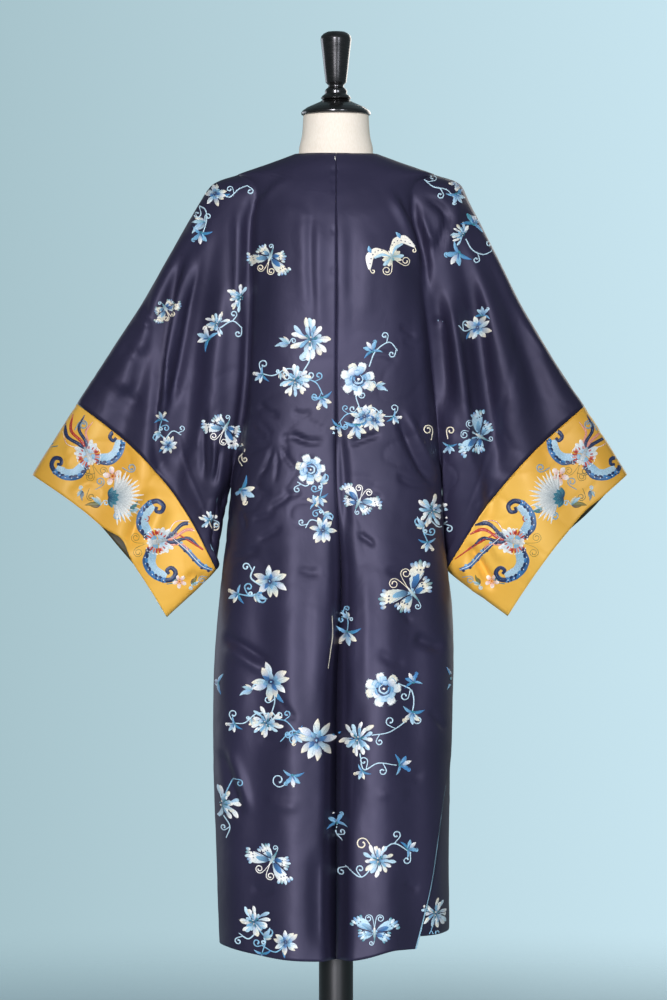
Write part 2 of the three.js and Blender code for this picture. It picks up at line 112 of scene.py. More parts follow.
# Sleeve rings by place along the sleeve, 0 at the armhole and 1 at the band seam: the top fold and the
# underarm seam, half of the depth, the bow towards the body, and how far the middle lies back.
SLEEVE_COLUMNS = "t topOut topZ lowOut lowZ half bow mid"
SLEEVES = {
    "left": named(SLEEVE_COLUMNS, [
        (0, 151.4, 1420, 163, 935, 50, 14, 0),
        (0.14, 191, 1405, 169, 908, 50, 15, 0),
        (0.22, 212, 1376, 172, 897, 49, 16, -1),
        (0.4, 257, 1297, 176, 874, 46, 19, -2),
        (0.6, 304, 1216, 180, 850, 42, 22, -4),
        (0.8, 355, 1138, 184, 828, 38, 25, -6),
        (1, 402, 1066, 185, 808, 34, 27, -8),
        (1.37, 471, 955, 262, 734, 30, 24, -8),
    ]),
    "right": named(SLEEVE_COLUMNS, [
        (0, 151.4, 1420, 164, 935, 50, 12, 0),
        (0.14, 192, 1405, 164.5, 908, 50, 12, 0),
        (0.22, 207, 1376, 163.5, 897, 49, 12, -1),
        (0.4, 248, 1297, 164.5, 874, 46, 13, -2),
        (0.6, 288, 1217, 166.5, 850, 42, 15, -4),
        (0.8, 335, 1138, 169, 828, 38, 17, -6),
        (1, 385, 1062, 171, 808, 34, 18, -8),
        (1.37, 452, 956, 267, 735, 30, 15, -8),
    ]),
}
# Where the slit edges lie round the body, as shares of a quarter turn from the centre back.
SLITS = named("z backLeft frontLeft backRight frontRight", [
    (200, 1.2, 1.26, 0.36, 0.3),
    (225, 1.19, 1.25, 0.39, 0.33),
    (284, 1.17, 1.22, 0.48, 0.41),
    (336, 1.15, 1.195, 0.56, 0.5),
    (412, 1.11, 1.15, 0.655, 0.62),
    (477, 1.06, 1.09, 0.76, 0.79),
    (540, 1, 1, 1, 1),
])
# The largest folds of the body: distance out from the middle, width, height at which each starts,
# height over which it grows, and its full depth (a ridge is positive, a trough negative).
BODY_FOLDS = {
    "back": {
        "left": [(0, 11, 960, 300, -34), (68, 36, 1120, 700, 8), (122, 26, 1010, 500, -8)],
        "right": [(0, 13, 960, 300, -34), (70, 34, 1120, 700, 8), (118, 26, 900, 500, -7)],
    },
    "front": {
        "left": [(48, 26, 1180, 800, 8), (108, 22, 1050, 700, -9)],
        "right": [(52, 24, 1180, 800, 9), (104, 22, 1020, 700, -8)],
    },
}
# The largest folds of the sleeves fan out from the shoulder: angle from straight down, spread, depth.
SLEEVE_FOLDS = [(0, 3.4, 7), (6.5, 3, -6), (13.5, 3.2, 8), (20, 3, -6), (26, 3, 4)]


# ---- small helpers --------------------------------------------------------------------------------------
def read(table, column, place):
    """Smooth value of one column at places along a table's first column, which rises."""
    keys = next(iter(table.values()))
    values = table[column]
    last = len(keys) - 1
    here = np.clip(place, keys[0], keys[-1])
    i = np.clip(np.searchsorted(keys, here, side="right") - 1, 0, last - 1)
    before = np.maximum(np.arange(last + 1) - 1, 0)
    after = np.minimum(np.arange(last + 1) + 1, last)
    slope = (values[after] - values[before]) / (keys[after] - keys[before])
    span = keys[i + 1] - keys[i]
    s = (here - keys[i]) / span
    rise = values[i + 1] - values[i]
    bend = span * s * (1 - s) * ((1 - s) * slope[i] - s * slope[i + 1])
    return values[i] + s * s * (3 - 2 * s) * rise + bend


def ease(a, b, x):
    """0 before a and 1 after b, with a smooth change between them."""
    s = np.clip((np.asarray(x, float) - a) / (b - a), 0, 1)
    return s * s * (3 - 2 * s)


def mix(a, b, share):
    return a + (b - a) * share


def bell(x, width):
    return np.exp(-((x / width) ** 2))


def smooth_line(points, count):
    """Points along a smooth curve through a few given ones."""
    p = np.array(points, float)
    if len(p) == 2:
        return p[0] + (p[1] - p[0]) * np.linspace(0, 1, count)[:, None]
    ends = np.vstack([2 * p[0] - p[1], p, 2 * p[-1] - p[-2]])
    place = np.linspace(0, len(p) - 1.0001, count)
    i = place.astype(int)
    s = (place - i)[:, None]
    a, b, c, d = ends[i], ends[i + 1], ends[i + 2], ends[i + 3]
    return 0.5 * (2 * b + (c - a) * s + (2 * a - 5 * b + 4 * c - d) * s**2 + (3 * b - a - 3 * c + d) * s**3)


# ---- the robe's surfaces --------------------------------------------------------------------------------
def section(side, z):
    """Half width, back depth, front depth and squareness of the body at a height."""
    shoulder = NECK_HALF + (NECK_TOP - z) / SHOULDER_SLOPE
    half = np.where(z > ARMHOLE_TOP, shoulder, read(BODY, side, z))
    return half, read(BODY, "back", z), read(BODY, "front", z), read(BODY, "square", z)


def fold_push(face, side, out, turn, z):
    push = np.zeros_like(out)
    for place, width, starts, fade, deep in BODY_FOLDS[face][side]:
        grow = ease(starts, starts - fade, z)
        push += deep * grow * bell(out - place, width) * np.abs(np.cos(turn)) ** 0.5
    return push


def seam_swing(behind, z):
    """How far the centre back seam hangs to the wearer's right at a height."""
    return SEAM_SWING * (behind > 0) * bell(z - SWING_AT, SWING_TALL)


def body_point(face, side, turn, z):
    """Points of the body's outer face: turn is the angle from the centre back round to the front."""
    half, back, front, square = section(side, z)
    power = 2 / square
    out = half * np.abs(np.sin(turn)) ** power
    depth = np.where(np.cos(turn) >= 0, back, front) * np.abs(np.cos(turn)) ** power
    behind = np.where(np.cos(turn) >= 0, 1, -1)
    back_push, front_push = (fold_push(part, side, out, turn, z) for part in ("back", "front"))
    x = SIDES[side] * out
    y = behind * (depth + np.where(behind > 0, back_push, front_push))
    x = x - seam_swing(behind, z) * bell(x, SWING_WIDE)
    if face == "front" and side == "right":
        draw = UNDERLAP * ease(SLIT_TOP, SLIT_TOP - LAP_GROWS, z) * ease(*LAP_TURNS, turn)
        x = x * (1 - draw)
        y = y * (1 - draw)
    return np.stack(np.broadcast_arrays(x, y, z), -1)


def edge_turn(face, side, z):
    """Angle of a panel's side edge: shoulder line, sleeve valley, side seam or slit."""
    _, back, front, square = section(side, z)
    inside = (z < ARMHOLE_TOP) & (z > UNDERARM)
    depth = np.where(inside, read(BODY, "valley", z), 0)
    if face == "back" and side == "right":
        depth = depth * (1 - VALLEY_DROP * ease(*VALLEY_GROWS, z) * ease(*VALLEY_ENDS, z))
    turn = np.arccos(np.clip(depth / (back if face == "back" else front), 0, 1) ** (square / 2))
    if face == "front":
        turn = pi - turn
    slit = read(SLITS, face + side.capitalize(), z) * pi / 2
    return np.where(z < SLIT_TOP, slit, turn)


def row_height(face, share, side_z):
    """Height of a panel's row at one share of the way from the centre to the side edge."""
    neck = mix(NECK_BACK if face == "back" else NECK_FRONT, NECK_TOP, 1 - np.cos(share * pi / 2))
    hem_side = HEM_SIDE if face == "back" else HEM_FRONT_SIDE
    hem = mix(HEM_CENTRE if face == "back" else HEM_FRONT, hem_side, ease(0, 0.7, share))
    drop = 0 if face == "back" else (1 - ease(0, 1, share)) * (NECK_TOP - NECK_FRONT)

    def settle(z):
        return z - drop * ease(YOKE_LOW, NECK_TOP, z)

    skirt = mix(hem, SLIT_TOP, (side_z - hem_side) / (SLIT_TOP - hem_side))
    top = mix(settle(ARMHOLE_TOP), neck, (side_z - ARMHOLE_TOP) / (NECK_TOP - ARMHOLE_TOP))
    z = np.where(side_z > UNDERARM, settle(side_z), side_z)
    z = np.where(side_z > ARMHOLE_TOP, top, z)
    return np.where(side_z < SLIT_TOP, skirt, z)


def fan_depth(out, z, mirror):
    """Depth of the sleeve's fan of folds, which grows away from the shoulder."""
    angle = np.degrees(np.arctan2(out - FAN_OUT, FAN_Z - z))
    reach = ease(40, 260, np.hypot(out - FAN_OUT, FAN_Z - z))
    return sum(deep * reach * bell(angle - fold - mirror, spread) for fold, spread, deep in SLEEVE_FOLDS)


def sleeve_point(side, t, around):
    """Points of a sleeve before it is drawn to the armhole: around is 0 at the top fold, 1 at the
    underarm seam by way of the back, and 2 at the top fold again by way of the front."""
    table = SLEEVES[side]
    down = np.where(around <= 1, around, 2 - around)
    behind = np.where(around <= 1, 1, -1)
    top_out, top_z = read(table, "topOut", t), read(table, "topZ", t)
    span_x, span_z = read(table, "lowOut", t) - top_out, read(table, "lowZ", t) - top_z
    length = np.hypot(span_x, span_z)
    bow = read(table, "bow", t) * np.sin(pi * down)
    out = top_out + span_x * down + bow * span_z / length
    z = top_z + span_z * down - bow * span_x / length
    flat = np.clip(1 - np.abs(2 * down - 1) ** SQUARE_SLEEVE, 0, 1) ** (1 / SQUARE_SLEEVE)
    fold = fan_depth(out, z, np.where(around <= 1, 0, 2)) * flat * ease(0.05, 0.4, t)
    swing = UNDERARM_SWING[side] * ease(0.6, 1, down) * ease(0.1, 0.5, t)
    y = read(table, "mid", t) - swing + behind * (read(table, "half", t) * flat + fold)
    return np.stack(np.broadcast_arrays(SIDES[side] * out, y, z), -1)


def sleeve_surface(side, t, around):
    """Points of a sleeve's outer face, starting at the side edges of the body's panels."""
    down = np.where(around <= 1, around, 2 - around)
    z = ARMHOLE_TOP - down * (ARMHOLE_TOP - UNDERARM)
    back = body_point("back", side, edge_turn("back", side, z), z)
    front = body_point("front", side, edge_turn("front", side, z), z)
    start = np.where((around <= 1)[..., None], back, front)
    join = (1 - ease(0, 0.45, t))[..., None]
    return sleeve_point(side, t, around) + (start - sleeve_point(side, np.zeros_like(t), around)) * join


# ---- camera, floor and light ----------------------------------------------------------------------------
CAMERA_HEIGHT = 0.916  # metres above the floor
CAMERA_AWAY = 6.0  # metres behind the robe
CAMERA_ASIDE = 0.0039  # metres to the wearer's left
FRAME = 36  # longer side of the camera's frame, in millimetres
LENS = 139.4  # focal length on that frame, in millimetres
ROOM_LIGHT = 0.22  # how strongly the room lights what stands in it, beside how it is seen


def camera():
    data = bpy.data.cameras.new("camera")
    data.lens = LENS
    data.sensor_width = FRAME
    eye = bpy.data.objects.new("camera", data)
    eye.location = (CAMERA_ASIDE, CAMERA_AWAY, CAMERA_HEIGHT)
    eye.rotation_euler = (pi / 2, 0, pi)
    bpy.context.collection.objects.link(eye)
    bpy.context.scene.camera = eye


def linear(value):
    """An sRGB hex colour as linear red, green, blue and alpha."""
    parts = [int(value[i : i + 2], 16) / 255 for i in (1, 3, 5)]
    return [p / 12.92 if p <= 0.04045 else ((p + 0.055) / 1.055) ** 2.4 for p in parts] + [1]


def add(tree, kind, links=None, **settings):
    """A node with its settings. links gives each socket a value or the output that feeds it."""
    node = tree.nodes.new("ShaderNode" + kind)
    for name, value in settings.items():
        setattr(node, name, value)
    for socket, value in (links or {}).items():
        if isinstance(value, bpy.types.NodeSocket):
            tree.links.new(value, node.inputs[socket])
        else:
            node.inputs[socket].default_value = value
    return node


def blank(name):
    """An empty material with its tree and its Principled shader."""
    made = bpy.data.materials.new(name)
    made.use_nodes = True
    tree = made.node_tree
    return made, tree, tree.nodes["Principled BSDF"]


def light(name, place, aim, size, power, tint="#ffffff", spread=180):
    """A softbox of a width and height; a spread under 180 degrees is a grid that narrows its beam."""
    data = bpy.data.lights.new(name, "AREA")
    data.shape = "RECTANGLE"
    data.size, data.size_y = size
    data.spread = radians(spread)
    data.energy = power
    data.color = linear(tint)[:3]
    lamp = bpy.data.objects.new(name, data)
    lamp.location = place
    lamp.rotation_euler = (Vector(aim) - Vector(place)).to_track_quat("-Z", "Y").to_euler()
    bpy.context.collection.objects.link(lamp)


def studio():
    """A pale floor that fades into a plain pale room, and soft lights behind and in front."""
    world = bpy.data.worlds.new("room")
    world.use_nodes = True
    tree = world.node_tree
    seen = add(tree, "LightPath").outputs["Is Camera Ray"]
    spot = add(tree, "TexCoord").outputs["Generated"]
    across = add(tree, "SeparateXYZ", {"Vector": spot}).outputs["X"]
    shift = add(tree, "MapRange", {"Value": across, "From Min": -0.09, "From Max": 0.09}).outputs["Result"]
    walls = {"Factor": shift, "A": linear("#c8e5f0"), "B": linear("#a7c3cb")}
    wall = add(tree, "Mix", walls, data_type="RGBA")
    tree.links.new(wall.outputs["Result"], tree.nodes["Background"].inputs["Color"])
    strength = add(tree, "MapRange", {"Value": seen, "To Min": ROOM_LIGHT, "To Max": 1.0}).outputs["Result"]
    tree.links.new(strength, tree.nodes["Background"].inputs["Strength"])
    bpy.context.scene.world = world
    bpy.context.scene.view_settings.view_transform = "Standard"
    bm = bmesh.new()
    bmesh.ops.create_circle(bm, cap_ends=True, segments=96, radius=3)
    disc = bpy.data.meshes.new("floor")
    bm.to_mesh(disc)
    floor = bpy.data.objects.new("floor", disc)
    bpy.context.collection.objects.link(floor)
    made, tree, shader = blank("painted floor")
    shader.inputs["Base Color"].default_value = linear("#cce9f3")
    shader.inputs["Roughness"].default_value = 0.8
    shader.inputs["Specular IOR Level"].default_value = 0.1
    place = add(tree, "TexCoord")
    away = add(tree, "VectorMath", {0: place.outputs["Object"]}, operation="LENGTH")
    fade = add(tree, "MapRange", {"Value": away.outputs["Value"], "From Min": 0.5, "From Max": 2.4,
                                  "To Min": 1.0, "To Max": 0.0}, interpolation_type="SMOOTHSTEP")
    tree.links.new(fade.outputs["Result"], shader.inputs["Alpha"])
    disc.materials.append(made)
    light("key", (0.75, 4.2, 1.35), (0.02, 0, 0.9), (0.75, 2.6), 7.3, "#f8f6ff", 20)
    light("fill", (-1.5, 4.0, 1.15), (0, 0, 0.85), (0.75, 2.4), 2.2, "#f0f2ff", 20)
    light("front key", (-1.7, -3.4, 1.9), (0, 0, 0.9), (2.4, 2.4), 46, "#fff8f0")
    light("front fill", (2.8, -2.8, 1.3), (0, 0, 0.9), (2.2, 2.2), 26, "#eef2ff")


camera()
studio()


# ---- materials ------------------------------------------------------------------------------------------
def satin(name, colour, light_colour, roughness):
    """Silk satin, woven with long floats: a smooth face with broad soft highlights and a faint crumple."""
    made, tree, shader = blank(name)
    place = add(tree, "TexCoord").outputs["Object"]
    # Warp threads lie 0.1 mm apart, too fine to show, so the streaks are drawn about 2 mm wide.
    along = add(tree, "Mapping", {"Vector": place, "Scale": (500, 500, 20)}).outputs["Vector"]
    streak = add(tree, "TexNoise", {"Vector": along, "Scale": 1.0, "Detail": 2.0}).outputs["Fac"]
    crumple = add(tree, "TexNoise", {"Vector": place, "Scale": 34.0, "Detail": 3.0,
                                     "Distortion": 0.6}).outputs["Fac"]
    broad = add(tree, "TexNoise", {"Vector": place, "Scale": 5.0, "Detail": 2.0}).outputs["Fac"]
    tone = add(tree, "MapRange", {"Value": broad, "From Min": 0.3, "From Max": 0.7}).outputs["Result"]
    tones = {"Factor": tone, "A": linear(colour), "B": linear(light_colour)}
    colours = add(tree, "Mix", tones, data_type="RGBA")
    tree.links.new(colours.outputs["Result"], shader.inputs["Base Color"])
    # Fine creases from wear run every way, 20 to 60 mm long, and come and go over the cloth.
    lines = add(tree, "TexNoise", {"Vector": place, "Scale": 15.0, "Detail": 2.0, "Distortion": 0.5},
                noise_type="RIDGED_MULTIFRACTAL").outputs["Fac"]
    patch = add(tree, "TexNoise", {"Vector": place, "Scale": 9.0, "Detail": 1.0}).outputs["Fac"]
    worn = add(tree, "MapRange", {"Value": patch, "From Min": 0.42, "From Max": 0.62}).outputs["Result"]
    shown = add(tree, "Math", {0: lines, 1: worn}, operation="MULTIPLY").outputs["Value"]
    fine = add(tree, "Bump", {"Height": shown, "Strength": 0.5, "Distance": 0.0026})
    soft = add(tree, "Bump", {"Height": crumple, "Strength": 0.35, "Distance": 0.0016,
                              "Normal": fine.outputs["Normal"]})
    weave = add(tree, "Bump", {"Height": streak, "Strength": 0.06, "Distance": 0.0003,
                               "Normal": soft.outputs["Normal"]})
    tree.links.new(weave.outputs["Normal"], shader.inputs["Normal"])
    shader.inputs["Roughness"].default_value = roughness
    shader.inputs["Specular IOR Level"].default_value = 0.6
    shader.inputs["Specular Tint"].default_value = linear(SATIN_GLOSS[name])
    shader.inputs["Sheen Weight"].default_value = 0.12
    shader.inputs["Sheen Roughness"].default_value = 0.5
    shader.inputs["Sheen Tint"].default_value = linear(light_colour)
    return made


def floss():
    """Untwisted silk embroidery floss: close parallel threads with a bright gloss, in shaded colours."""
    made, tree, shader = blank("silk embroidery floss")
    colour = add(tree, "Attribute", attribute_name="floss").outputs["Color"]
    place = add(tree, "TexCoord").outputs["Object"]
    # Floss lies 0.4 mm apart; it is drawn 1.2 mm apart so that it shows.
    thread = add(tree, "TexNoise", {"Vector": place, "Scale": 830.0, "Detail": 1.0}).outputs["Fac"]
    shade = add(tree, "MapRange", {"Value": thread, "From Min": 0.3, "From Max": 0.7, "To Min": 0.8,
                                   "To Max": 1.2}).outputs["Result"]
    mixed = add(tree, "VectorMath", {0: colour, "Scale": shade}, operation="SCALE").outputs["Vector"]
    tree.links.new(mixed, shader.inputs["Base Color"])
    bump = add(tree, "Bump", {"Height": thread, "Strength": 0.25, "Distance": 0.0004})
    tree.links.new(bump.outputs["Normal"], shader.inputs["Normal"])
    shader.inputs["Roughness"].default_value = 0.42
    shader.inputs["Sheen Weight"].default_value = 0.3
    return made


def grained(name, dark, pale, scale, roughness, depth, coat=0.0):
    """A finish with two close tones and a fine relief; scale is in repeats a metre for each axis."""
    made, tree, shader = blank(name)
    place = add(tree, "TexCoord").outputs["Object"]
    sized = add(tree, "Mapping", {"Vector": place, "Scale": scale}).outputs["Vector"]
    grain = add(tree, "TexNoise", {"Vector": sized, "Scale": 1.0, "Detail": 3.0}).outputs["Fac"]
    tone = add(tree, "MapRange", {"Value": grain, "From Min": 0.32, "From Max": 0.68}).outputs["Result"]
    colours = add(tree, "Mix", {"Factor": tone, "A": linear(dark), "B": linear(pale)}, data_type="RGBA")
    tree.links.new(colours.outputs["Result"], shader.inputs["Base Color"])
    bump = add(tree, "Bump", {"Height": grain, "Strength": 0.3, "Distance": depth})
    tree.links.new(bump.outputs["Normal"], shader.inputs["Normal"])
    uneven = add(tree, "MapRange", {"Value": grain, "From Min": 0.3, "From Max": 0.7,
                                    "To Min": roughness - 0.05, "To Max": roughness + 0.06}).outputs["Result"]
    tree.links.new(uneven, shader.inputs["Roughness"])
    shader.inputs["Coat Weight"].default_value = coat
    shader.inputs["Coat Roughness"].default_value = 0.12
    return made


SATIN_GLOSS = {"aubergine silk satin": "#c2bedb", "gold silk satin": "#fff0c0"}
AUBERGINE = satin("aubergine silk satin", "#232133", "#2e2b40", 0.5)
GOLD = satin("gold silk satin", "#e0a030", "#fcc656", 0.46)
FLOSS = floss()
# Plain-weave silk: threads 0.15 mm apart, drawn 1.5 mm apart, with slubs that run round the body.
LINING = grained("light blue lining silk", "#86b2c6", "#a6cbda", (90, 90, 650), 0.5, 0.0002)
# The bands' inner face is a dark olive brown, far darker than their gold face.
BAND_DARK_INNER_FACE = grained("dark olive band inner face", "#3f3820", "#564c2a", (90, 90, 650), 0.52, 0.0002)
# A close cotton knit: wales 0.8 mm apart, drawn 1.6 mm apart, which leaves a soft matt skin.
JERSEY = grained("cream cotton jersey", "#ece0ca", "#f3e9d7", (620, 620, 200), 0.82, 0.0003)
# Turned beech under black lacquer: the grain shows as faint rings under a wet gloss.
LACQUER = grained("black lacquered beech", "#0f0e0e", "#1b1918", (60, 60, 900), 0.26, 0.00012, 0.7)
# Sprayed satin paint on steel: a fine orange peel about 1.5 mm across.
PAINT = grained("dark satin paint on steel", "#0f100f", "#171817", (660, 660, 660), 0.42, 0.00015)
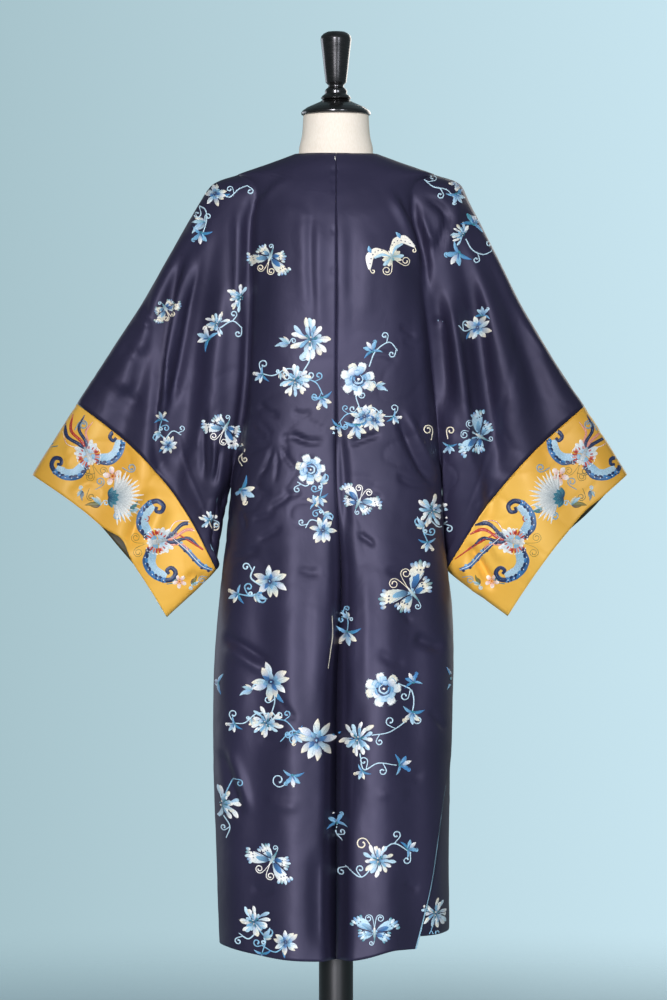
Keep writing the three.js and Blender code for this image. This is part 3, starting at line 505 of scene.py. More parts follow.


# ---- creases, listed one by one -------------------------------------------------------------------------
# Each crease runs through three places, to the viewer's right of the centre and up, in millimetres.
# Then come its width and its depth in the middle of its run: ridges are positive, troughs negative.
# One whose width is negative has a sharp floor, and its width is the same number without the sign.
CREASES = {
    "back": [
        # from the neck over the shoulder blades
        (-70, 1423, -100, 1407, -128, 1373, 7, -3.4),
        (-66, 1412, -98, 1394, -120, 1362, 10, 1.2),
        (-50, 1385, -51, 1290, -44, 1170, 12, 1.2),
        (-38, 1392, -39, 1280, -34, 1190, 7, -0.8),
        (-24, 1370, -27, 1262, -20, 1120, 10, 1.3),
        (8, 1372, 9, 1270, 12, 1140, 9, 1.0),
        (26, 1350, 24, 1270, 22, 1210, 10, -0.8),
        (46, 1340, 48, 1262, 44, 1160, 13, 1.0),
        (76, 1395, 110, 1331, 135, 1252, 8, 3.4),
        (93, 1390, 124, 1334, 143, 1262, 7, -3.0),
        # the dark valleys where the sleeves leave the body, and the soft ridges beside them
        (-122, 1400, -134, 1330, -135, 1226, 6, -5.0),
        (-134, 1250, -142, 1068, -158, 940, 7, -5.0),
        (-120, 1385, -120, 1300, -120, 1180, 8, 2.0),
        (-150, 1380, -151, 1290, -152, 1150, 7, 3.0),
        (112, 1392, 132, 1320, 142, 1226, 6, -5.0),
        (150, 1270, 162, 1150, 173, 1030, 13, -4.5),
        (122, 1250, 134, 1110, 146, 960, 9, 2.4),
        # the long trough down the centre, which swings to one side and back
        (2, 1040, 10, 960, 16, 850, 9, -3.6),
        (13, 880, 13, 780, 9, 680, -11, -2.0),
        (8, 716, 2, 560, -1, 380, -14, -8.5),
        (-1, 470, -2, 340, -2, 190, -15, -9.5),
        (-26, 400, -28, 310, -26, 222, 14, -3.0),
        (26, 640, 22, 520, 16, 400, 14, -3.0),
        (42, 830, 46, 720, 42, 600, 11, 1.6),
        (-28, 800, -30, 700, -36, 560, 11, 1.6),
        # short puckers along the centre seam
        (-9, 1424, -3, 1420, 3, 1424, 3, -1.3),
        (-10, 1409, -3, 1404, 4, 1408, 3, -1.3),
        (-8, 1394, -2, 1390, 4, 1394, 3, -1.1),
        (-9, 1330, -3, 1326, 2, 1329, 3, -0.8),
        (-8, 1268, -3, 1263, 2, 1267, 3, -0.8),
        # pulls above the waist on the left
        (-96, 1004, -118, 996, -144, 984, 4, -1.5),
        (-90, 1008, -66, 1012, -36, 1002, 4, -1.3),
        (-95, 1000, -104, 976, -118, 946, 4, -1.5),
        (-92, 1000, -90, 970, -94, 938, 3.5, -1.1),
        (-88, 1002, -74, 978, -56, 958, 4, -1.4),
        (-98, 1010, -106, 1024, -120, 1034, 4, -1.2),
        (-70, 1052, -52, 1046, -34, 1050, 4, -1.1),
        (-60, 982, -44, 976, -26, 980, 4, -1.1),
        (-140, 1052, -128, 1046, -112, 1050, 4, -1.3),
        (-84, 930, -66, 924, -50, 930, 4, -1.2),
        (-130, 944, -114, 930, -96, 926, 4, -1.4),
        (-122, 1066, -104, 1050, -84, 1043, 4, -2.0),
        (-76, 1022, -46, 1006, -14, 1005, 4, -1.8),
        (-131, 1030, -120, 1018, -104, 1012, 4, -1.8),
        # and on the right
        (16, 999, 46, 1010, 72, 1018, 4, -2.2),
        (18, 1034, 32, 1036, 48, 1032, 4, -1.6),
        (90, 1058, 120, 985, 158, 927, 7, -4.4),
        (103, 1060, 134, 992, 166, 938, 7, 3.2),
        (91, 955, 112, 942, 147, 936, 4, -1.9),
        (96, 1182, 110, 1174, 123, 1164, 4, -1.8),
        (100, 1160, 118, 1154, 136, 1158, 4, -1.4),
        (44, 1134, 70, 1138, 96, 1130, 4, -1.2),
        (30, 866, 46, 857, 62, 845, 4, -1.9),
        (47, 928, 60, 923, 73, 915, 4, -1.4),
        # across the waist
        (-147, 898, -141, 884, -138, 870, 3.5, -1.6),
        (-132, 886, -112, 890, -90, 897, 4, -1.6),
        (-124, 853, -102, 863, -80, 877, 4, -1.7),
        (-108, 900, -86, 912, -64, 928, 4, -1.6),
        (-165, 828, -140, 832, -112, 844, 6, -1.9),
        (70, 812, 100, 806, 132, 812, 6, -1.5),
        (-60, 812, -40, 806, -22, 808, 5, -1.2),
        (-178, 712, -142, 692, -98, 664, 7, -4.0),
        (-174, 694, -140, 674, -104, 652, 8, 2.6),
        (94, 753, 106, 742, 118, 727, 5, -1.5),
        (118, 708, 142, 698, 168, 688, 9, -4.4),
        (60, 690, 84, 672, 110, 668, 8, -1.8),
        (-120, 560, -96, 548, -70, 556, 8, -1.4),
        (-112, 470, -84, 454, -52, 452, 9, 1.4),
        (86, 520, 110, 500, 138, 494, 9, -1.6),
        (58, 466, 84, 474, 112, 462, 9, 1.2),
        # the skirt's long soft ridges, and drags at the slits
        (-62, 940, -70, 700, -58, 420, 22, 1.6),
        (-106, 900, -112, 700, -100, 500, 20, -1.8),
        (70, 930, 76, 700, 66, 450, 22, 1.5),
        (112, 880, 120, 660, 110, 480, 20, -1.6),
        (-120, 420, -108, 330, -114, 250, 20, 1.4),
        (96, 400, 84, 320, 92, 250, 20, 1.4),
        (-90, 617, -74, 597, -57, 580, 5, -1.6),
        (-180, 537, -164, 493, -142, 422, 8, -3.6),
        (-168, 545, -149, 500, -126, 432, 8, 2.4),
        (142, 596, 156, 580, 170, 562, 5, -1.8),
        (102, 337, 114, 330, 127, 321, 5, -1.4),
        (-130, 330, -112, 322, -92, 328, 6, -1.3),
        # the left sleeve's folds fan from the shoulder
        (-160, 1296, -186, 1129, -204, 985, 17, 3.4),
        (-206, 1318, -235, 1147, -258, 1040, 8, -5.6),
        (-220, 1316, -256, 1150, -267, 1030, 6, 6.0),
        (-238, 1312, -271, 1130, -283, 1010, 8, -6.4),
        (-256, 1290, -290, 1190, -300, 1120, 10, 2.2),
        (-292, 1180, -318, 1128, -326, 1078, 15, 2.8),
        (-206, 1388, -214, 1352, -226, 1318, 6, 2.4),
        (-296, 1222, -290, 1204, -276, 1188, 5, -2.0),
        (-309, 1206, -300, 1192, -286, 1180, 5, 1.6),
        (-334, 1156, -314, 1142, -290, 1134, 8, -2.2),
        (-356, 1112, -332, 1096, -304, 1092, 9, 2.0),
        (-338, 1084, -316, 1070, -298, 1068, 7, -1.8),
        (-302, 1212, -262, 1062, -188, 860, 2.4, -0.8),
        (-272, 1064, -277, 1004, -262, 934, 13, -4.6),
        (-206, 1030, -222, 970, -236, 896, 15, 2.6),
        (-199, 1060, -204, 1000, -203, 940, 5, -2.6),
        (-188, 1020, -186, 980, -190, 938, 5, 2.4),
        (-176, 1004, -182, 970, -190, 936, 5, -2.8),
        (-166, 940, -176, 884, -186, 826, 12, -9.0),
        # the right sleeve loops under the shoulder, then fans
        (133, 1386, 172, 1350, 147, 1279, 6, -4.2),
        (124, 1367, 138, 1330, 152, 1304, 6, 3.2),
        (186, 1392, 184, 1350, 163, 1300, 7, 3.2),
        (147, 1189, 160, 1190, 172, 1185, 4, -2.0),
        (170, 1244, 190, 1120, 212, 930, 9, 5.4),
        (203, 1290, 230, 1100, 254, 945, 12, -5.6),
        (226, 1270, 264, 1150, 296, 1010, 18, 3.4),
        (262, 1250, 304, 1130, 330, 1040, 16, -2.4),
        (294, 1186, 312, 1160, 328, 1136, 4, 1.6),
        (214, 1000, 220, 940, 230, 880, 12, 2.2),
        (240, 960, 236, 900, 214, 846, 11, -3.4),
        (286, 1213, 256, 1060, 188, 860, 2.4, -0.8),
        # the bands: a soft valley by the left opening, a sharp fold in the right one's low corner
        (-282, 936, -304, 886, -326, 832, 12, -6.5),
        (-262, 920, -282, 870, -300, 812, 13, 4.0),
        (-232, 806, -215, 792, -192, 796, 9, -4.0),
        (-420, 1010, -412, 985, -418, 960, 9, 1.8),
        (-372, 955, -392, 938, -414, 918, 9, -2.2),
        (202, 852, 226, 812, 246, 772, 7, -7.0),
        (192, 826, 210, 792, 226, 764, 9, 4.0),
        (222, 872, 244, 846, 262, 816, 9, 3.0),
        (330, 1004, 338, 978, 356, 956, 9, 1.6),
    ],
    "front": [
        (-66, 1378, -98, 1330, -120, 1262, 8, 2.8),
        (66, 1378, 96, 1326, 122, 1255, 8, 2.8),
        (-82, 1376, -112, 1330, -134, 1266, 7, -2.6),
        (84, 1374, 112, 1322, 136, 1250, 7, -2.6),
        (-30, 1344, -34, 1280, -30, 1200, 7, 1.6),
        (40, 1340, 38, 1270, 42, 1190, 8, 1.6),
        (96, 1008, 122, 1000, 148, 990, 5, -2.4),
        (92, 1006, 74, 1012, 50, 1006, 5, -2.0),
        (94, 1004, 104, 978, 112, 950, 4, -2.2),
        (-90, 1060, -120, 985, -156, 930, 7, -4.2),
        (-104, 1062, -134, 992, -164, 940, 7, 3.0),
        (-20, 996, -48, 1008, -76, 1014, 4, -2.0),
        (-130, 884, -108, 892, -86, 900, 4, -1.6),
        (120, 852, 100, 864, 78, 876, 4, -1.7),
        (160, 828, 138, 834, 110, 846, 6, -1.9),
        (-168, 704, -148, 694, -120, 684, 6, -2.2),
        (170, 690, 148, 700, 124, 712, 6, -2.2),
        (64, 930, 60, 640, 64, 270, 12, 3.4),
        (100, 900, 98, 640, 104, 300, 13, -2.4),
        (-62, 930, -64, 640, -58, 270, 12, 3.4),
        (-104, 880, -98, 620, -100, 300, 13, -2.4),
        (24, 900, 22, 600, 26, 270, 9, -2.2),
        (-26, 880, -24, 560, -28, 270, 9, -2.2),
        (172, 530, 158, 490, 138, 424, 8, -3.0),
        (159, 1300, 181, 1147, 200, 950, 8, 4.0),
        (174, 1332, 205, 1178, 224, 965, 8, -4.8),
        (190, 1340, 226, 1178, 240, 980, 9, 4.2),
        (210, 1334, 254, 1178, 286, 1034, 9, -4.2),
        (226, 1318, 276, 1178, 314, 1058, 9, 3.4),
        (-160, 1290, -178, 1120, -194, 950, 8, 4.0),
        (-178, 1320, -202, 1150, -220, 960, 8, -4.6),
        (-196, 1326, -226, 1150, -248, 970, 9, 4.0),
        (-212, 1330, -252, 1162, -284, 1012, 9, -3.8),
        (-228, 1310, -280, 1150, -316, 1030, 9, 3.2),
        (282, 936, 300, 890, 316, 846, 12, -4.6),
        (-212, 862, -232, 822, -250, 784, 10, -4.6),
        (-380, 1000, -372, 968, -384, 940, 10, 2.2),
        (400, 1000, 398, 972, 410, 944, 10, 2.2),
    ],
}


RELIEF = 1.9  # the depths above are of the cloth laid nearly flat; as it hangs, they are this much deeper
DEEPEST = -24  # the deepest that creases push the cloth in where it hangs clear of the bust
DEEPEST_YOKE = -1.5  # the same on the shoulders, where it rests on the bust
YOKE = (1350, 1395)  # heights between which the one passes into the other
WORN_AT = 960  # height of the waist, where wear has left the most fine creases
WORN_TALL = 150  # how far they reach up and down
SEAM_STIFF = 12  # width beside the centre seams that creases don't draw sideways
WORN_DEEP = 1.5  # depth of those fine creases
WORN_SHARP = 14  # how narrow they are beside their spacing
UNEVEN = 0.9  # depth of the broad unevenness all over the cloth
RIPPLED = 0.3  # depth of the small unevenness on it


def crease_depth(face, right, up):
    """How far the creases push the cloth out at places to the viewer's right and up."""
    push = np.zeros(len(right))
    for *places, width, deep in CREASES[face]:
        run = smooth_line(np.reshape(places, (3, 2)), 9)
        near = np.hypot(right - run[4, 0], up - run[4, 1])
        close = near < np.hypot(*(run[0] - run[-1])) + 4 * abs(width)
        spot = np.stack([right[close], up[close]], -1)
        best = np.full(len(spot), 1e9)
        along = np.zeros(len(spot))
        for k in range(len(run) - 1):
            way = run[k + 1] - run[k]
            s = np.clip(((spot - run[k]) @ way) / (way @ way), 0, 1)
            away = np.hypot(*(spot - run[k] - s[:, None] * way).T)
            along = np.where(away < best, (k + s) / (len(run) - 1), along)
            best = np.minimum(best, away)
        profile = bell(best, width) if width > 0 else np.exp(best / width)
        push[close] += deep * profile * ease(0, 0.3, along) * ease(1, 0.7, along)
    return push


def crease(mesh):
    """Pushes the cloth out and in along its normals by its creases, with slight unevenness all over."""
    count = len(mesh.vertices)
    place, normal = np.empty(count * 3), np.empty(count * 3)
    mesh.vertices.foreach_get("co", place)
    mesh.vertices.foreach_get("normal", normal)
    place, normal = place.reshape(-1, 3), normal.reshape(-1, 3)
    across, up = place[:, 0] / MM, place[:, 2] / MM
    facing = RELIEF * np.abs(normal[:, 1]) ** 0.6
    behind = normal[:, 1]
    on_back, on_front = crease_depth("back", -across, up), crease_depth("front", across, up)
    push = np.where(behind > 0, on_back, on_front) * facing
    push = np.maximum(push, mix(DEEPEST, DEEPEST_YOKE, ease(*YOKE, up)))
    wear = 0.1 + 0.9 * bell(up - WORN_AT, WORN_TALL)
    push += [UNEVEN * noise.noise(Vector((x * 16, y * 16, z * 9)))
             + RIPPLED * noise.noise(Vector((x, y, z)) * 50)
             - WORN_DEEP * amount * (1 - abs(noise.noise(Vector((x * 13, y * 13, z * 19))))) ** WORN_SHARP
             for (x, y, z), amount in zip(place, wear)]
    shift = normal * push[:, None] * MM
    shift[:, 0] *= ease(0, SEAM_STIFF, np.abs(across + seam_swing(behind, up)))
    mesh.vertices.foreach_set("co", (place + shift).ravel())
    mesh.update()


# ---- cloth shells ---------------------------------------------------------------------------------------
def surface_mesh(name, grids, closed=()):
    """One mesh from grids of points in millimetres; grids that share an edge are joined along it."""
    bm = bmesh.new()
    for number, points in enumerate(grids):
        rows, columns = points.shape[:2]
        verts = [[bm.verts.new(p) for p in row] for row in (points * MM).tolist()]
        spans = columns if number in closed else columns - 1
        for i in range(rows - 1):
            for j in range(spans):
                k = (j + 1) % columns
                bm.faces.new((verts[i][j], verts[i + 1][j], verts[i + 1][k], verts[i][k]))
    bmesh.ops.remove_doubles(bm, verts=bm.verts, dist=WELD * MM)
    mesh = bpy.data.meshes.new(name)
    bm.to_mesh(mesh)
    bm.free()
    return mesh


def panel_grid(face, side, side_rows, columns):
    """Points of a body panel, from its centre edge to its side edge."""
    share, side_z = np.meshgrid(columns, side_rows)
    z = row_height(face, share, side_z)
    start = 0 if face == "back" else pi
    turn = mix(start, edge_turn(face, side, side_z), share)
    points = body_point(face, side, turn, z)
    clear = CENTRE_SEAM if face == "back" else FRONT_OPENING
    points[..., 0] += SIDES[side] * clear * (1 - share) ** 4
    return points


ARM_ROWS = np.linspace(ARMHOLE_TOP, UNDERARM, 108)
SLEEVE_DOWN = (ARMHOLE_TOP - ARM_ROWS) / (ARMHOLE_TOP - UNDERARM)
RING = np.concatenate([SLEEVE_DOWN, 2 - SLEEVE_DOWN[-2:0:-1]])


def side_rows(face):
    hem = HEM_SIDE if face == "back" else HEM_FRONT_SIDE
    return np.concatenate([
        np.linspace(NECK_TOP, ARMHOLE_TOP, 9)[:-1],
        ARM_ROWS[:-1],
        np.linspace(UNDERARM, SLIT_TOP, 92)[:-1],
        np.linspace(SLIT_TOP, hem, 70),
    ])


def panel_columns(count):
    """Shares from centre to side edge, closer together near the centre seam."""
    s = np.linspace(0, 1, count)
    return 0.6 * s + 0.4 * s**2.2


def sleeve_grid(side, places):
    around, t = np.meshgrid(RING, places)
    return sleeve_surface(side, t, around)


def cloth(name, mesh, finish, lining, thickness=CLOTH):
    """A shell of cloth and lining from its outer face."""
    bpy.context.view_layer.update()
    made = bpy.data.objects.new(name, mesh)
    bpy.context.collection.objects.link(made)
    mesh.materials.append(finish)
    mesh.materials.append(lining)
    mesh.shade_smooth()
    shell = made.modifiers.new("shell", "SOLIDIFY")
    shell.thickness = thickness * MM
    shell.offset = -1
    shell.material_offset = 1
    shell.use_even_offset = False
    bpy.context.view_layer.objects.active = made
    with bpy.context.temp_override(object=made, active_object=made, selected_objects=[made]):
        bpy.ops.object.modifier_apply(modifier="shell")
    return made


def face_out(mesh, probe):
    """Turns every face over if the face nearest the probe, a point well outside, looks away from it."""
    bm = bmesh.new()
    bm.from_mesh(mesh)
    bmesh.ops.recalc_face_normals(bm, faces=bm.faces)
    near = min(bm.faces, key=lambda f: (f.calc_center_median() - Vector(probe)).length)
    if near.normal.dot(Vector(probe) - near.calc_center_median()) < 0:
        bmesh.ops.reverse_faces(bm, faces=bm.faces)
    bm.to_mesh(mesh)
    bm.free()


# Rings along the sleeve, with four more of them close to the piecing seam.
PIECING_RINGS = PIECING + np.array([-0.011, -0.0055, 0.0055, 0.011])
SLEEVE_PLACES = np.sort(np.concatenate([np.linspace(0, BAND_SEAM, 53), PIECING_RINGS]))
SOFT_VALLEY = 16  # how near the sleeve's valley the cloth is rounded
SOFT_YOKE = 9  # how near the front's shoulder fold it is rounded
SOFT_TIMES = 5  # how many times it is
YOKE_AHEAD = 15  # the front's shoulder fold starts this far in front of the shoulder line


def soften_armhole(mesh, side):
    """Rounds the fold where the sleeve leaves the body, and the front's fold under the shoulder."""
    z = np.linspace(ARMHOLE_TOP - 34, UNDERARM - 6, 100)
    valleys = [body_point(face, side, edge_turn(face, side, z), z) for face in ("back", "front")]
    line = np.concatenate(valleys) * MM
    yoke = panel_grid("front", side, np.array([ARMHOLE_TOP]), np.linspace(0.3, 0.92, 60))[0] * MM
    place = np.empty(len(mesh.vertices) * 3)
    mesh.vertices.foreach_get("co", place)
    place = place.reshape(-1, 3)
    near = np.array([((line - p) ** 2).sum(1).min() for p in place]) < (SOFT_VALLEY * MM) ** 2
    close_yoke = np.array([((yoke - p) ** 2).sum(1).min() for p in place]) < (SOFT_YOKE * MM) ** 2
    near |= (place[:, 1] < -YOKE_AHEAD * MM) & close_yoke
    bm = bmesh.new()
    bm.from_mesh(mesh)
    bm.verts.ensure_lookup_table()
    close = [v for v, hit in zip(bm.verts, near) if hit and not v.is_boundary]
    for _ in range(SOFT_TIMES):
        bmesh.ops.smooth_vert(bm, verts=close, factor=0.5, use_axis_x=True, use_axis_y=True,
                              use_axis_z=True)
    bm.to_mesh(mesh)
    bm.free()


def robe_half(side):
    grids = [
        panel_grid("back", side, side_rows("back"), panel_columns(80)),
        panel_grid("front", side, side_rows("front"), panel_columns(44)),
        sleeve_grid(side, SLEEVE_PLACES),
    ]
    mesh = surface_mesh(f"robe_{side}", grids, closed=(2,))
    face_out(mesh, (0, 2, 0.7))
    soften_armhole(mesh, side)
    crease(mesh)
    return cloth(f"robe_{side}", mesh, AUBERGINE, LINING)


BAND_ROWS = 34  # rows of cloth across a band
BAND_DRAWN = {"left": (0.56, 10), "right": (0.3, 2.5)}  # where a band's opening is drawn in, and how far
BAND_EASED = 5  # how far the same place in front hangs out


def band(side):
    """The gold band; behind, its opening is drawn in a little, so that the front's lining shows past it."""
    points = sleeve_grid(side, np.linspace(BAND_SEAM + 0.002, BAND_EDGE, BAND_ROWS))
    edge = np.linspace(0, 1, BAND_ROWS)[:, None]
    place, depth = BAND_DRAWN[side]
    draw = edge**2 * (depth * bell(RING - place, 0.08) - BAND_EASED * bell(2 - RING - place, 0.16))[None, :]
    points[..., 0] -= SIDES[side] * draw * 0.6
    points[..., 2] += draw * 0.8
    mesh = surface_mesh(f"band_{side}_satin", [points], closed=(0,))
    face_out(mesh, (SIDES[side] * 0.4, 2, 0.9))
    crease(mesh)
    return cloth(f"band_{side}_satin", mesh, GOLD, BAND_DARK_INNER_FACE)


STRIP_TOP = 0.8  # the strips reach this share of the slit's height up from the hem
STRIP_LINES = np.array([-16, -12, -8, -4, 0, 1])  # across a strip: from inside the panel to past its edge
STRIP_PROUD = 1.0  # how far a strip shows past the slit's edge at the top
STRIP_HANGS = 3.2  # how much further at the hem
STRIP_INSIDE = 2.2  # how far inside the cloth's face a strip lies
STRIP_EDGE_INSIDE = 0.5  # the same where it shows


def slit_edge(face, side):
    """A narrow strip of lining silk inside a slit edge, showing a little past it."""
    hem = HEM_SIDE if face == "back" else HEM_FRONT_SIDE
    s, d = np.meshgrid(np.linspace(STRIP_TOP, 0, 40), STRIP_LINES, indexing="ij")
    z = mix(hem, SLIT_TOP, s)
    half = section(side, z)[0]
    proud = np.where(d > 0, STRIP_PROUD + STRIP_HANGS * (1 - s), d)
    turn = edge_turn(face, side, z) + (1 if face == "back" else -1) * proud / half
    points = body_point(face, side, turn, z)
    points[..., :2] *= 1 - np.where(d > 0, STRIP_EDGE_INSIDE, STRIP_INSIDE)[..., None] / half[..., None]
    mesh = surface_mesh(f"slit_edge_{face}_{side}", [points])
    face_out(mesh, (SIDES[side] * 2, 2 if face == "back" else -2, 0.4))
    return cloth(f"slit_edge_{face}_{side}", mesh, LINING, LINING, STRIP)


CLOTHS, BANDS = {}, {}
for side in SIDES:
    half = robe_half(side)
    CLOTHS[side] = half
    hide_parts(f"back_{side}", f"front_{side}", f"sleeve_{side}_upper", f"sleeve_{side}_lower")
    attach(half, "root")
    cuff = band(side)
    BANDS[side] = cuff
    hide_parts(f"band_{side}")
    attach(cuff, "root")
    for face in ("back", "front"):
        strip = slit_edge(face, side)
        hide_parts(f"slit_facing_{face}_{side}")
        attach(strip, "root")


# ---- embroidery: satin stitch laid on the cloth as low rounded strokes of floss --------------------------
# Motifs are drawn in millimetres as a viewer sees them: to the right, and up. A stroke is its line, its
# half widths, the colours of its two ends and the layer of stitches that it lies in.
CREAM, IVORY, PALE, SKY, BLUE, NAVY = "#efe4c6", "#f7f3e6", "#b9d6e0", "#7fb3cd", "#3f7fb4", "#1a2c55"
TEAL, LEAF, OLIVE, CORAL, ROSE, GREY = "#2f7f8c", "#55713e", "#8c762a", "#bf3a24", "#e2917a", "#8fa3aa"
PROUD = 0.6  # height of a full stroke of satin stitch over the cloth
LAYER = 0.25  # each layer of stitches lies this much over the last
COVER = 0.2  # strokes leave out cloth that turns further away than this
SUNK = 0.1  # how far a stroke's edges sink into the cloth
FULL = 1.3  # half width from which a stroke is rounded in five points instead of three
LEAP = 4  # a stroke breaks where it would leap this much further than its stitches lie apart
DOMES = {False: ((-1, 0), (0, 1), (1, 0)), True: ((-1, 0), (-0.6, 0.8), (0, 1), (0.6, 0.8), (1, 0))}
SPOON = (0.3, 0.34, 0.5, 0.85, 1, 0.86, 0.3)
LEAFLIKE = (0.15, 0.6, 0.95, 1, 0.8, 0.5, 0.08)
LOBE = (0.4, 0.72, 0.95, 1, 1, 0.8, 0.3)


def stroke(points, widths, base, tip=None, layer=0, count=8):
    """One stroke of floss; the widths are half widths at even steps along it."""
    line = smooth_line(points, count)
    half = np.interp(np.linspace(0, 1, count), np.linspace(0, 1, len(widths)), widths)
    return [(line, half, base, tip or base, layer)]


def polar(reach, angle):
    return np.array([reach * cos(radians(angle)), reach * sin(radians(angle))])


def petal(at, angle, length, half, base, tip, bend=0.0, layer=0, form=SPOON, start=0.0):
    """A petal or leaf that leaves a point at an angle, and bends to the left where bend is positive."""
    way, across = polar(1, angle), polar(1, angle + 90)
    line = [np.array(at, float) + way * length * s + across * bend * length * s * s
            for s in (start, mix(start, 1, 0.35), mix(start, 1, 0.7), 1)]
    return stroke(line, [half * w for w in form], base, tip, layer, 8)


def curl(at, angle, size, colour, hand=1, turns=1.1, width=1.0, stalk=0.9):
    """A tendril: a stalk that winds up in a spiral with a fuller end."""
    way, across = polar(1, angle), polar(1, angle + 90)
    points = [np.array(at, float)]
    eye = points[0] + stalk * size * way + hand * 0.5 * size * across
    for k in range(9):
        points.append(eye + polar(size * 0.5 * (1 - 0.085 * k), angle - hand * 90 + hand * turns * 45 * k))
    return stroke(points, [width * 0.8, width, width, width * 1.1, width * 1.5], colour, None, 0, 26)


def knot(at, radius, colour, layer=2):
    """A round knot of floss."""
    x, y = at
    return stroke([(x - radius, y), (x + radius, y)], [radius * w for w in (0.35, 0.87, 1, 0.87, 0.35)],
                  colour, None, layer, 6)


def placed(strokes, at=(0, 0), turn=0.0, size=1.0, mirror=False):
    """Strokes moved to a place, turned, sized and mirrored."""
    a = radians(turn)
    spin = np.array([[cos(a), sin(a)], [-sin(a), cos(a)]])
    flip = np.array([-1 if mirror else 1, 1])
    return [((line * flip * size) @ spin + np.array(at, float), half * size, base, tip, layer)
            for line, half, base, tip, layer in strokes]


def chrysanthemum(size=30, seed=0, first=0, sweep=360):
    """Spoon-shaped petals in two close rings with dark gaps between them, over a blue heart."""
    made = []
    chance = np.random.default_rng(seed)
    count = round(15 * sweep / 360) + (sweep < 360)
    for k in range(count):
        angle = first + sweep * k / (15 if sweep == 360 else count - 1) + chance.uniform(-6, 6)
        made += petal((0, 0), angle, size * chance.uniform(0.78, 1.1), size * chance.uniform(0.115, 0.155),
                      (SKY, BLUE, PALE)[k % 3], (CREAM, IVORY, PALE, IVORY)[(k + seed) % 4],
                      chance.uniform(-0.5, 0.5), 0, SPOON, 0.3)
    for k in range(10):
        made += petal((0, 0), first + sweep * (k + 0.4) / 10, size * chance.uniform(0.5, 0.7), size * 0.105,
                      (NAVY, BLUE)[k % 2], (PALE, IVORY, SKY)[k % 3], chance.uniform(-0.4, 0.4), 1, SPOON,
                      0.12)
    for k in range(6):
        made += petal((0, 0), first + sweep * (k + 0.1) / 6, size * 0.34, size * 0.075, NAVY,
                      (TEAL, SKY)[k % 2], 0.3, 2)
    for k in range(5):
        made += knot(polar(size * 0.12, 72 * k + 20), size * 0.045, (TEAL, CREAM)[k % 2], 3)
    return made


def peony(size=28, seed=0):
    """A full round flower: notched lobes one over another, closing on a blue heart worked in arcs."""
    chance = np.random.default_rng(seed)
    made = []
    for ring, (count, reach, half) in enumerate(((7, 1.0, 0.27), (6, 0.74, 0.23), (5, 0.5, 0.18))):
        pale = ((IVORY, CREAM, IVORY), (IVORY, PALE, PALE), (PALE, SKY, SKY))[ring]
        for k in range(count):
            angle = 360 * (k + 0.5 * ring) / count + chance.uniform(-9, 9)
            size_here = size * chance.uniform(0.92, 1.06)
            for split in (-1, 1):
                made += petal((0, 0), angle + split * 11, size_here * reach, size_here * half * 0.68,
                              (SKY, BLUE, BLUE)[ring], pale[k % 3], -0.12 * split, 2 * ring + k % 2, LOBE,
                              0.4)
            edge = [polar(size_here * reach * 0.98, angle + s) for s in (-17, -6, 6, 17)]
            made += stroke(edge, [0.3, 0.7, 0.3], (GREY, SKY, BLUE)[ring], None, 2 * ring + 2, 6)
    for ring, colour in ((0.36, NAVY), (0.25, PALE), (0.14, NAVY)):
        arc = [polar(size * ring, 400 * ring + 60 * s) for s in range(5)]
        made += stroke(arc, [0.5, 1.1, 1.1, 0.5], colour, None, 7, 14)
    return made + knot((0, 0), size * 0.07, IVORY, 8)


def lotus(size=27, seed=0):
    """Broad pointed petals, pale with blue roots, round a dark blue heart, with one leaf behind."""
    chance = np.random.default_rng(seed + 40)
    made = petal((0, 0), -100, size * 1.1, size * 0.13, TEAL, BLUE, 0.5, 0, LEAFLIKE, 0.4)
    for k in range(9):
        angle = 40 * k + chance.uniform(-7, 7)
        reach = size * chance.uniform(0.82, 1.06)
        made += petal((0, 0), angle, reach, size * chance.uniform(0.16, 0.21), (SKY, BLUE)[k % 2],
                      (CREAM, IVORY, CREAM)[(k + seed) % 3], chance.uniform(-0.3, 0.3), k % 2,
                      (0.5, 0.8, 1.0, 1.0, 0.82, 0.5, 0.1), 0.3)
        vein = [polar(reach * 0.42, angle), polar(reach * 0.78, angle + 3)]
        made += stroke(vein, [0.3, 0.6, 0.2], GREY, None, 2, 4)
    for k in range(7):
        made += petal((0, 0), 51.4 * k + 20, size * chance.uniform(0.42, 0.54), size * 0.12, NAVY,
                      (SKY, PALE, BLUE)[k % 3], 0.2, 2, LEAFLIKE, 0.15)
    return made + knot((0, 0), size * 0.15, NAVY, 3) + knot((0, 0), size * 0.06, SKY, 4)


def bud(size=14, colour=IVORY):
    """A half-open flower in its cup: round lobes, one rolled into a hook, over two curled leaves."""
    made = petal((0, 0), 150, size * 0.8, size * 0.15, TEAL, BLUE, 0.9, 0, LEAFLIKE)
    made += petal((0, 0), 14, size * 0.7, size * 0.14, BLUE, SKY, -0.9, 0, LEAFLIKE)
    for angle, reach, bend in ((116, 0.95, 0.3), (64, 1.0, -0.25), (90, 1.08, 0.12)):
        tint = (IVORY if colour in (SKY, BLUE, TEAL) else PALE) if angle == 90 else colour
        made += petal((0, 0), angle, size * reach, size * 0.2, (BLUE, SKY)[angle > 100], tint, bend, 1,
                      (0.35, 0.8, 0.7, 1.0, 0.95, 0.6, 0.2), 0.1)
    tip = polar(size * 0.95, 64)
    made += curl(tip, 20, size * 0.34, colour, -1, 0.9, size * 0.055, 0.4)
    made += petal((0, 0), 76, size * 0.6, size * 0.1, NAVY, SKY, -0.3, 2, LEAFLIKE)
    made += petal((0, 0), 106, size * 0.56, size * 0.1, NAVY, BLUE, 0.3, 2, LEAFLIKE)
    return made + knot((0, 0), size * 0.11, TEAL, 3)


